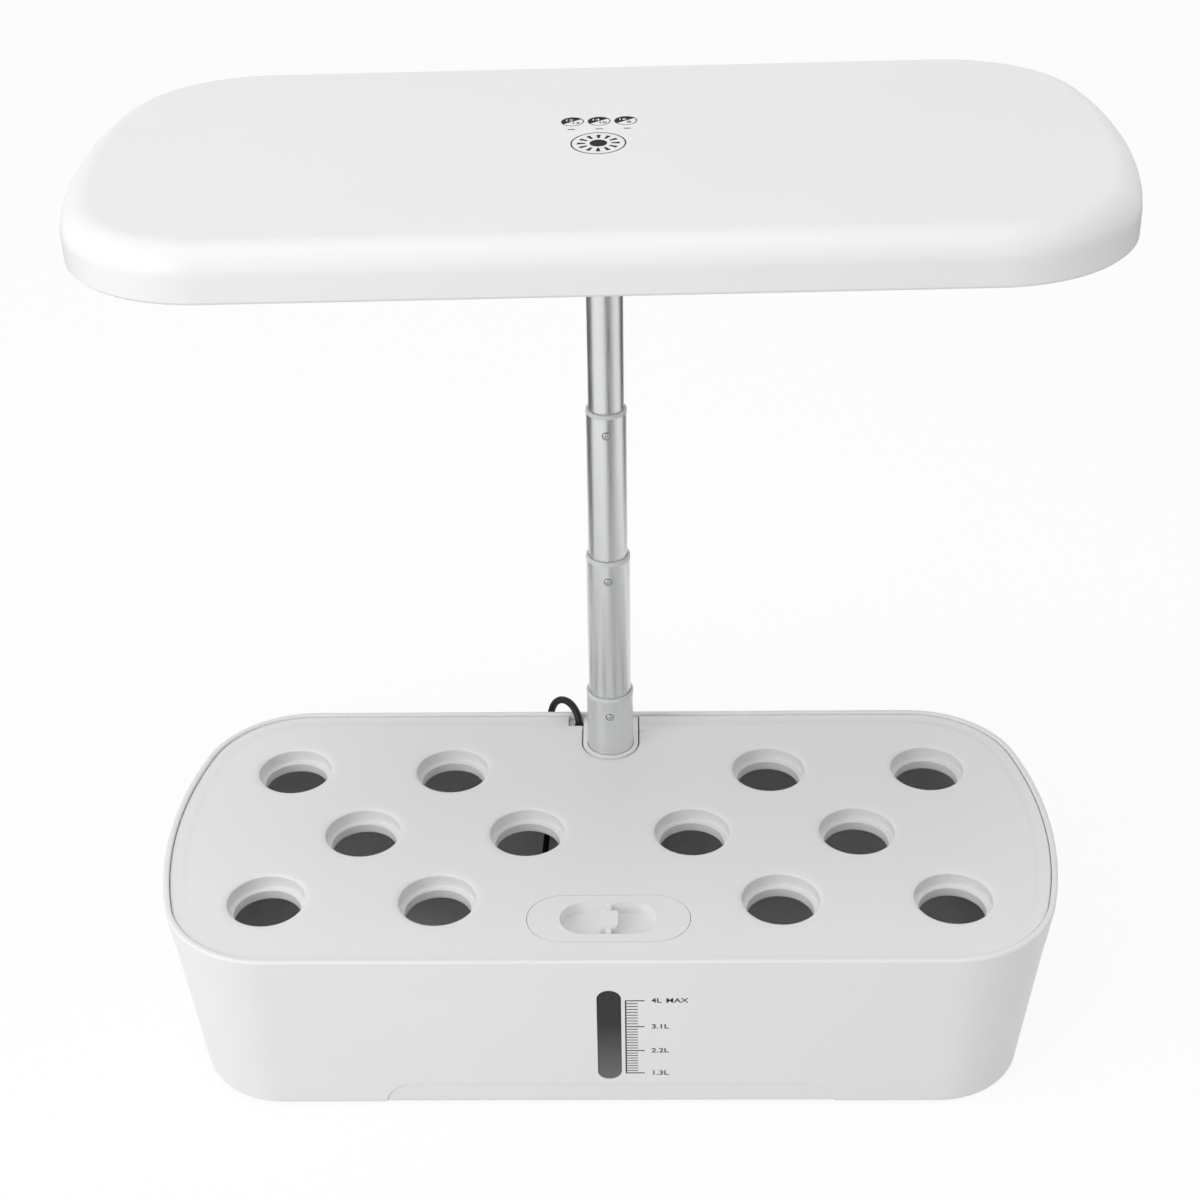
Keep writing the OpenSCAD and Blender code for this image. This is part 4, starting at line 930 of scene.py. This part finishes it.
# %% Feet and cups
def foot_mesh():
    low, high = solids_of("rubber_feet")[0]
    r, h = (high.x - low.x) / 2, high.z - low.z
    outline = [
        (0.6 * MM, 0), (0.6 * MM, r - 3.4 * MM), (0.5 * MM, r - 3.1 * MM), (0, r - 2.6 * MM),
        (0, r - 0.5 * MM), (0.15 * MM, r - 0.15 * MM), (0.5 * MM, r), (h, r), (h, 0),
    ]
    return turned("foot", outline, Vector(), Vector((0, 0, 1)), steps=56)


def cup_mesh():
    low, high = solids_of("suction_cups")[0]
    r, h = (high.x - low.x) / 2, high.z - low.z
    stem = 3 * MM
    outline = [
        (1.6 * MM, 0), (1.45 * MM, r * 0.35), (0.9 * MM, r * 0.7), (0, r * 0.98), (0.15 * MM, r),
        (0.7 * MM, r * 0.97), (2.2 * MM, r * 0.74), (3.3 * MM, r * 0.6), (h - 2 * MM, r * 0.52),
        (h - 1.7 * MM, stem * 0.9), (h - 1 * MM, stem * 0.86), (h - 0.6 * MM, stem), (h, stem), (h, 0),
    ]
    return turned("cup", outline, Vector(), Vector((0, 0, 1)), steps=48)


copied("rubber_feet", foot_mesh(), 0, rubber)
copied("suction_cups", cup_mesh(), 0, soft_pvc)

# %% [markdown]
# ## The mast
# Four anodised tubes slide in each other, with an acetal ring at each open end and a sprung button that
# snaps into a hole. When the mast is pushed together the buttons and their hoop springs are pressed
# flat inside the next tube. Here those pieces each get a mesh of their own.


def squeezed(name, finish):
    """A dressed piece with a mesh of its own."""
    piece = dress(name, finish)
    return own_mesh(piece)


for stage in (1, 2, 3, 4):
    dress(f"mast_tube_{stage}", aluminium)
for stage in (1, 2, 3):
    dress(f"guide_ring_{stage}", ring_acetal)
    squeezed(f"snap_button_{stage}", spring)
    squeezed(f"snap_spring_{stage}", spring)

# %% [markdown]
# ## The coiled lead in the mast
# The lamp gets its power through a coiled lead inside the tubes, which stretches as the mast goes up.
# The frame holds it as four plain cylinders, one in each tube. Each becomes a real helix, worked out
# by a loop, and the lower three get meshes of their own.

# %% Coiled lead
CURL_WIRE = 1.9 * MM
CURL_PITCH = 4.2 * MM
CURL_STEPS = 14


def helix(low, high):
    """Points up a helix that fills a box."""
    radius = (high.x - low.x) / 2 - CURL_WIRE / 2
    bottom, top = low.z + CURL_WIRE / 2, high.z - CURL_WIRE / 2
    count = round((top - bottom) / CURL_PITCH * CURL_STEPS)
    middle = (low + high) / 2
    path = []
    for i in range(count + 1):
        angle = 2 * math.pi * i / CURL_STEPS
        path.append(Vector((
            middle.x + radius * math.cos(angle), middle.y + radius * math.sin(angle),
            bottom + (top - bottom) * i / count,
        )))
    return path


def lead_mesh(name, path, diameter):
    """A round lead along a path, as a mesh object."""
    return as_object(name, plain_mesh(round_lead(name, path, diameter, jacket)))


for stage in (1, 2, 3, 4):
    name = f"curly_lead_{stage}"
    low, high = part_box(name)
    curl = settle(lead_mesh(name + "_wound", helix(low, high), CURL_WIRE), body_of[name], name)
    if stage < 4:
        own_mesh(curl)

# %% [markdown]
# ## The leads inside
# The pump's lead lies on the floor of the tank and climbs to a moulded joint behind the mast, where it
# meets the supply and the lead that goes up to the lamp. Their solids are coarse tubes. The same routes
# are drawn again as smooth round leads, which is quick with the curve helper made for the cord.

# %% Inner leads
PUMP_ROUTE = [
    (0.056, -0.006, 0.026), (0.058, -0.006, 0.026), (0.06, -0.006, 0.026),
    (0.065, -0.005, 0.024), (0.07, 0, 0.018), (0.07, 0.008, 0.012),
    (0.066, 0.018, 0.0075), (0.056, 0.03, 0.0062), (0.04, 0.04, 0.006),
    (0.02, 0.046, 0.006), (0, 0.047, 0.006), (-0.018, 0.05, 0.006),
    (-0.03, 0.057, 0.007), (-0.034, 0.066, 0.014), (-0.033, 0.073, 0.028),
    (-0.03, 0.078, 0.046), (-0.026, 0.082, 0.058), (-0.0206, 0.0854, 0.066),
    (-0.0185, 0.0862, 0.0726), (-0.0185, 0.0862, 0.0746), (-0.0185, 0.0862, 0.0766),
]
DUCT_ROUTE = [
    (-0.0154, 0.0842, 0.0766), (-0.0154, 0.0842, 0.0744), (-0.0156, 0.0834, 0.071),
    (-0.0162, 0.0812, 0.067), (-0.0168, 0.0788, 0.0626), (-0.0169, 0.0776, 0.057),
    (-0.0169, 0.0776, 0.048), (-0.0169, 0.0776, 0.038), (-0.0169, 0.0776, 0.03),
    (-0.0169, 0.0776, 0.024), (-0.0166, 0.0774, 0.021), (-0.0152, 0.0768, 0.0192),
    (-0.012, 0.0752, 0.0186), (-0.008, 0.0733, 0.0185), (-0.004, 0.0712, 0.0184),
    (0, 0.0695, 0.0186),
]
SUPPLY_ROUTE = [(-0.0156, 0.0864, 0.0864), (-0.0156, 0.0864, 0.0849), (-0.0156, 0.0864, 0.0834)]
TOP_ROUTE = [
    (0, 0.0695, 0.408), (0, 0.0695, 0.4094), (-0.0016, 0.0694, 0.4116), (-0.005, 0.0692, 0.4124),
    (-0.011, 0.0688, 0.4116), (-0.02, 0.068, 0.4084), (-0.03, 0.0672, 0.4054), (-0.038, 0.067, 0.4046),
    (-0.04, 0.067, 0.4046), (-0.042, 0.067, 0.4046),
]
THIN_D = 3 * MM

for name, route, diameter in (
    ("pump_lead", PUMP_ROUTE, THIN_D), ("duct_lead", DUCT_ROUTE, CORD_D),
    ("supply_lead", SUPPLY_ROUTE, CORD_D), ("lamp_top_lead", TOP_ROUTE, THIN_D),
):
    path = smooth_path(route, 4)
    if body_of[name] == "lamp":
        path = [HUNG @ point for point in path]
    settle(lead_mesh(name + "_smooth", path, diameter), body_of[name], name)
    print(name, "length:", round(path_length(path), 3), "m")
dress("lead_splice", jacket)

# %% [markdown]
# ## The lamp
# The lamp is a shallow moulded tray, closed from below by a cover with a clear window. Behind the
# window is a white board with eighty LEDs. Two green boards drive them and read the touch key, and
# three short light pipes end in the lamp's top. The solids already lean with the lamp, so their dressed
# copies do too.

# %% Lamp
for name, finish in (
    ("lamp_housing", white_abs), ("lamp_cover", white_abs), ("lamp_hub", white_abs),
    ("lamp_window", clear), ("led_board", led_white), ("indicator_lenses", pipe),
    ("driver_board", board_green), ("touch_board", board_green),
):
    dress(name, finish)

# %% [markdown]
# ## The LEDs
# Eighty white LEDs stand in a grid under the board. Each is a moulded package with a pool of yellow
# phosphor in its face. Their places follow a rule, so a Geometry Nodes tree makes the grid, and its
# inputs are the size of the grid and the number of rows and columns.

# %% LEDs
LED_COLUMNS = 16
LED_ROWS = 5
GEL_D = 2.1 * MM
GEL_T = 0.12 * MM


def grid_tree():
    tree, inputs = new_tree("grid_of_copies", {
        "Length": "Float", "Depth": "Float", "Columns": "Int", "Rows": "Int",
        "Item": "Object", "Finish": "Material",
    })
    grid = node(tree, "GeometryNodeMeshGrid", {
        "Size X": inputs["Length"], "Size Y": inputs["Depth"],
        "Vertices X": inputs["Columns"], "Vertices Y": inputs["Rows"],
    })
    item = node(tree, "GeometryNodeObjectInfo", {"Object": inputs["Item"]}).outputs["Geometry"]
    laid = {"Points": grid.outputs["Mesh"], "Instance": item}
    copies = node(tree, "GeometryNodeInstanceOnPoints", laid).outputs[0]
    end_tree(tree, copies, inputs["Finish"])
    return tree


def package_mesh(size):
    """An LED's package: a small block with bevelled edges."""
    shape = bmesh.new()
    bmesh.ops.create_cube(shape, size=1, matrix=Matrix.Diagonal((*size, 1)))
    bmesh.ops.bevel(shape, geom=shape.edges[:], offset=0.15 * MM, segments=1, affect="EDGES")
    return as_mesh("package", shape)


def make_leds():
    boxes = solids_of("led_chips", LEVEL_LAMP)
    size = boxes[0][1] - boxes[0][0]
    span = boxes[-1][0] - boxes[0][0]
    middle = (boxes[0][0] + boxes[-1][1]) / 2
    r = GEL_D / 2
    drop = [(0, 0), (0, r - 0.2 * MM), (GEL_T, r), (2 * GEL_T, r), (2 * GEL_T, 0)]
    under = Vector((0, 0, -size.z / 2 - GEL_T / 2))
    gel_mesh = turned("gel", drop, under, Vector((0, 0, 1)), steps=16)
    tree = grid_tree()
    for name, item_mesh, finish in (
        ("led_packages", package_mesh(size), led_white), ("led_gels", gel_mesh, gel),
    ):
        item = as_object("led_item", item_mesh)
        mesh = grown(
            name, tree, bpy.data.meshes.new("start"), Length=span.x, Depth=span.y,
            Columns=LED_COLUMNS, Rows=LED_ROWS, Item=item, Finish=finish,
        )
        mesh.transform(HUNG @ Matrix.Translation(middle))
        settle(shaded(name, mesh, finish), "lamp", "led_chips")
        bpy.data.objects.remove(item)
    print("LEDs:", LED_COLUMNS * LED_ROWS, "solids in the frame:", len(boxes))


make_leds()

# %% [markdown]
# ## The pump
# A small black pump stands on four suction cups. Its foam filter sits behind a slotted cover, and the
# rotor is a ferrite magnet on a ceramic shaft. All of it keeps its solids' shapes.

# %% Pump
for name, finish in (
    ("pump_housing", black_plastic), ("pump_cover", black_plastic), ("pump_outlet", black_plastic),
    ("pump_sponge", foam), ("pump_stator", potting), ("pump_shaft", ceramic),
    ("impeller", milky_acetal), ("rotor_magnet", ferrite),
):
    dress(name, finish)

# %% [markdown]
# ## The printed marks
# A litre scale is printed beside the water window, and symbols for the light programmes are printed on
# the lamp. Ink is a real layer, so each mark is a thin solid that lies on its surface. The scale lies on
# the tank's leaning front, and the slant comes from the window's own face, so the print fits the wall.

# %% Laying out a print
INK = 0.03 * MM
LEVEL = 0.9


def facing(name, towards):
    """The largest flat face of a node that looks some way: its normal and a point on it."""
    faces = [f for f in merged_copy(name).polygons if f.normal.dot(towards) > LEVEL]
    best = max(faces, key=lambda f: f.area)
    return best.normal.copy(), best.center.copy()


def sheet_matrix(origin, right, normal):
    """Turns a drawing on XY so that it lies at origin, reads along right and faces along normal."""
    up = normal.cross(right)
    return Matrix.Translation(origin) @ Matrix((right, up, normal)).transposed().to_4x4()


def flat_solid(outline):
    """A thin solid with that outline of (x, y) points, counter-clockwise."""
    shape = bmesh.new()
    top = [shape.verts.new((x, y, INK)) for x, y in outline]
    base = [shape.verts.new((x, y, 0)) for x, y in outline]
    shape.faces.new(top)
    shape.faces.new(base[::-1])
    for i in range(len(top)):
        k = (i + 1) % len(top)
        shape.faces.new((base[i], base[k], top[k], top[i]))
    return as_mesh("ink", shape)


def oval(rx, ry, x=0.0, y=0.0, start=0.0, end=360.0, steps=64):
    """Points on an oval, or on a part of one."""
    count = max(2, round(steps * (end - start) / 360))
    last = count if end - start < 360 else count - 1
    angles = [math.radians(start + (end - start) * i / count) for i in range(last + 1)]
    return [(x + rx * math.cos(a), y + ry * math.sin(a)) for a in angles]


def oval_ring(rx, ry, width, x=0.0, y=0.0, steps=96):
    """A thin solid ring."""
    shape = bmesh.new()
    loops = []
    for inset, z in ((0, 0), (width, 0), (width, INK), (0, INK)):
        loop = oval(rx - inset, ry - inset, x, y, steps=steps)
        loops.append([shape.verts.new((px, py, z)) for px, py in loop])
    for a, b in zip(loops, loops[1:] + loops[:1]):
        for i in range(steps):
            k = (i + 1) % steps
            shape.faces.new((a[i], b[i], b[k], a[k]))
    bmesh.ops.recalc_face_normals(shape, faces=shape.faces)
    return as_mesh("ink", shape)


CAP_SHARE = 0.7
LETTER_SPREAD = 1.12


def lettering(text, height, x, y, weight, centred=False, lift=0.0):
    """Thin solid letters with capitals of that height and their middle line at y, all in mm."""
    curve = bpy.data.curves.new("lettering", "FONT")
    curve.body = text
    curve.size = height * MM / CAP_SHARE
    curve.offset = weight * MM
    curve.extrude = INK / 2
    curve.align_x = "CENTER" if centred else "LEFT"
    curve.align_y = "CENTER"
    mesh = plain_mesh(as_object("lettering", curve))
    spread = Matrix.Diagonal((LETTER_SPREAD, 1, 1, 1))
    mesh.transform(Matrix.Translation((x * MM, y * MM, INK / 2 + lift)) @ spread)
    return mesh


def printed(name, meshes, matrix, finish, body):
    """Joins thin solids into one printed piece, laid on its surface."""
    shape = bmesh.new()
    for mesh in meshes:
        shape.from_mesh(mesh)
    whole = as_mesh(name, shape)
    whole.transform(matrix)
    whole.materials.append(finish)
    print(name, "faces:", len(whole.polygons))
    return settle(as_object(name, whole), body)


# %% [markdown]
# The short lines of the scale are a row of equal bars, so a Geometry Nodes tree makes them along a mesh
# line from their number, spacing and size. The rays of the sun use another small tree, which turns a
# copy of one ray outwards at each point of a circle. Both could be loops, but a tree keeps its few
# sizes as named inputs.

# %% Trees for the bars and the rays
def bar_tree():
    tree, inputs = new_tree("row_of_bars", {
        "Count": "Int", "Gap": "Float", "Length": "Float", "Width": "Float", "Finish": "Material",
    })
    step = node(tree, "ShaderNodeCombineXYZ", {"Y": inputs["Gap"]}).outputs[0]
    row = node(tree, "GeometryNodeMeshLine", {"Count": inputs["Count"], "Offset": step}).outputs[0]
    sides = {"X": inputs["Length"], "Y": inputs["Width"], "Z": INK}
    size = node(tree, "ShaderNodeCombineXYZ", sides).outputs[0]
    bar = node(tree, "GeometryNodeMeshCube", {"Size": size}).outputs["Mesh"]
    half = node(tree, "ShaderNodeMath", {0: inputs["Length"], 1: 0.5}, operation="MULTIPLY")
    shift = node(tree, "ShaderNodeCombineXYZ", {"X": half.outputs[0], "Z": INK / 2}).outputs[0]
    moved = node(tree, "GeometryNodeTransform", {"Geometry": bar, "Translation": shift}).outputs[0]
    bars = node(tree, "GeometryNodeInstanceOnPoints", {"Points": row, "Instance": moved}).outputs[0]
    end_tree(tree, bars, inputs["Finish"])
    return tree


def ray_tree():
    tree, inputs = new_tree("ring_of_rays", {
        "Count": "Int", "Radius": "Float", "Item": "Object", "Finish": "Material",
    })
    size = {"Vertices": inputs["Count"], "Radius": inputs["Radius"]}
    ring = node(tree, "GeometryNodeMeshCircle", size).outputs[0]
    item = node(tree, "GeometryNodeObjectInfo", {"Object": inputs["Item"]}).outputs["Geometry"]
    place = node(tree, "GeometryNodeInputPosition").outputs[0]
    turn = node(
        tree, "FunctionNodeAlignRotationToVector", {"Vector": place}, axis="X", pivot_axis="Z",
    ).outputs[0]
    laid = {"Points": ring, "Instance": item, "Rotation": turn}
    rays = node(tree, "GeometryNodeInstanceOnPoints", laid).outputs[0]
    end_tree(tree, rays, inputs["Finish"])
    return tree


# %% [markdown]
# The scale is an upright line with a long bar and a figure at each mark, and nine short bars between
# two marks. It is drawn flat, in millimetres from the foot of its line, and one matrix then lays it on
# the wall beside the window. The marks are not quite even: each step up is a little taller than the last.

# %% Litre scale
SCALE_X = 7.2
SCALE_Z = 21.1
SCALE_MARKS = (0, 14.8, 30.4, 46.9)
SHORT_PER_MARK = 9
LONG_BAR = 8.1
SHORT_BAR = 5.2
LONG_WIDTH = 0.6
SHORT_WIDTH = 0.48
LABEL_X = 11.0
LABEL_HEIGHT = 2.8
LABEL_WEIGHT = 0.07
MAX_X = 17.2
MAX_WEIGHT = 0.05
WINDOW_INSET = 0.5
LABELS = ("1.3L", "2.2L", "3.1L", "4L")


def front_place(x, z):
    """Where a print starts on the tank's leaning front, at that x and height."""
    normal, face = facing("water_window", Vector((0, -1, 0)))
    origin = face + normal * WINDOW_INSET * MM
    up = normal.cross(Vector((1, 0, 0)))
    origin += up * (z * MM - origin.z) / up.z
    origin.x = x * MM
    lean = math.degrees(math.asin(-normal.z))
    print("scale from", round(origin.z / MM, 1), "mm, lean", round(lean, 2), "degrees")
    return sheet_matrix(origin, Vector((1, 0, 0)), normal)


def row_of_bars(tree, count, start, gap, length, width):
    """Equal bars above each other, from a height up, all in mm."""
    bars = grown(
        "bars", tree, bpy.data.meshes.new("start"), Count=count, Gap=gap * MM, Length=length * MM,
        Width=width * MM, Finish=grey_ink,
    )
    bars.transform(Matrix.Translation((0, start * MM, 0)))
    return bars


def make_scale():
    tree = bar_tree()
    half = LONG_WIDTH / 2 * MM
    tall = SCALE_MARKS[-1] * MM
    corners = [(-half, -half), (half, -half), (half, tall + half), (-half, tall + half)]
    marks = [flat_solid(corners)]
    for low, high in zip(SCALE_MARKS, SCALE_MARKS[1:]):
        gap = (high - low) / SHORT_PER_MARK
        marks.append(row_of_bars(tree, SHORT_PER_MARK, low, gap, SHORT_BAR, SHORT_WIDTH))
    for height, text in zip(SCALE_MARKS, LABELS):
        marks.append(row_of_bars(tree, 1, height, 1, LONG_BAR, LONG_WIDTH))
        marks.append(lettering(text, LABEL_HEIGHT, LABEL_X, height, LABEL_WEIGHT))
    marks.append(lettering("MAX", LABEL_HEIGHT, MAX_X, SCALE_MARKS[-1], MAX_WEIGHT))
    printed("litre_scale", marks, front_place(SCALE_X, SCALE_Z), grey_ink, "base")


make_scale()

# %% [markdown]
# The touch key is a sun in a ring. Behind it stand three badges, each split between dark and light with
# the hours of light and of dark in figures, and a slot for an indicator light lies between each badge
# and the ring. All of it is drawn level, slightly taller than round, and leant with the lamp.

# %% Lamp symbols
LAMP_TOP = 417
KEY_PLACE = (-0.2, -2.5)
KEY_R = 10.6
OVALNESS = 1.15
RING_WIDTH = 0.55
SUN_R = 3.35
RAY_IN = 4.9
RAY_LENGTH = 3.2
RAY_WIDTH = 1.7
RAY_COUNT = 12
BADGE_Y = 23.0
BADGE_R = 4.45
BADGE_PITCH = 10.35
BADGES = (("12", "12"), ("14", "10"), ("16", "8"))
BADGE_RIM = 0.4
FIGURE_HEIGHT = 2.1
LIGHT_FIGURE = (-1.4, 1.5)
LIGHT_WEIGHT = 0.03
DARK_FIGURE = (1.3, -1.7)
DARK_WEIGHT = 0.05
NIGHT_FROM = 35


def sun_rays(key_y):
    """Rays that widen outwards, all round the sun."""
    wide = RAY_WIDTH / 2 * MM
    long = RAY_LENGTH * MM
    ray = [(0, -wide / 2), (long, -wide), (long, wide), (0, wide / 2)]
    item = as_object("ray_item", flat_solid(ray))
    rays = grown(
        "rays", ray_tree(), bpy.data.meshes.new("start"), Count=RAY_COUNT, Radius=RAY_IN * MM,
        Item=item, Finish=black_ink,
    )
    bpy.data.objects.remove(item)
    rays.transform(Matrix.Translation((0, key_y, 0)) @ Matrix.Diagonal((1, OVALNESS, 1, 1)))
    return rays


def figure(text, x, place, weight, lift=0.0):
    """A small figure in a badge, off the badge's middle at that x."""
    across, up = place
    return lettering(text, FIGURE_HEIGHT, x + across, BADGE_Y + up, weight, centred=True, lift=lift)


def make_symbols():
    key_y = KEY_PLACE[1] * MM
    origin = mm(KEY_PLACE[0], 0, LAMP_TOP)
    matrix = HUNG @ sheet_matrix(origin, Vector((1, 0, 0)), Vector((0, 0, 1)))
    ring = oval_ring(KEY_R * MM, KEY_R * OVALNESS * MM, RING_WIDTH * MM, y=key_y)
    sun = flat_solid(oval(SUN_R * MM, SUN_R * OVALNESS * MM, y=key_y))
    black, white = [sun_rays(key_y), ring, sun], []
    r, rim, y = BADGE_R * MM, BADGE_RIM * MM, BADGE_Y * MM
    for i, (light_hours, dark_hours) in enumerate(BADGES):
        middle = (i - 1) * BADGE_PITCH
        x = middle * MM
        night = oval(r - rim / 2, r * OVALNESS - rim / 2, x, y, start=NIGHT_FROM, end=NIGHT_FROM + 180)
        black += [oval_ring(r, r * OVALNESS, rim, x, y), flat_solid(night)]
        white.append(figure(light_hours, middle, LIGHT_FIGURE, LIGHT_WEIGHT, lift=INK))
        black.append(figure(dark_hours, middle, DARK_FIGURE, DARK_WEIGHT))
    printed("lamp_symbols", black, matrix, black_ink, "lamp")
    printed("lamp_figures", white, matrix, white_ink, "lamp")
    print("symbols on the lamp at", LAMP_TOP, "mm")


make_symbols()

# %% [markdown]
# ## Finish
# The box of the visual model is set beside the box of the frame, to see that nothing stands out of it.

# %% Sizes and finish
seen_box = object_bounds()
sizes = {"cad": [list(corner) for corner in cad_box], "visual": [list(corner) for corner in seen_box]}
print("frame box:", [[round(x, 4) for x in corner] for corner in cad_box])
print("visual box:", [[round(x, 4) for x in corner] for corner in seen_box])
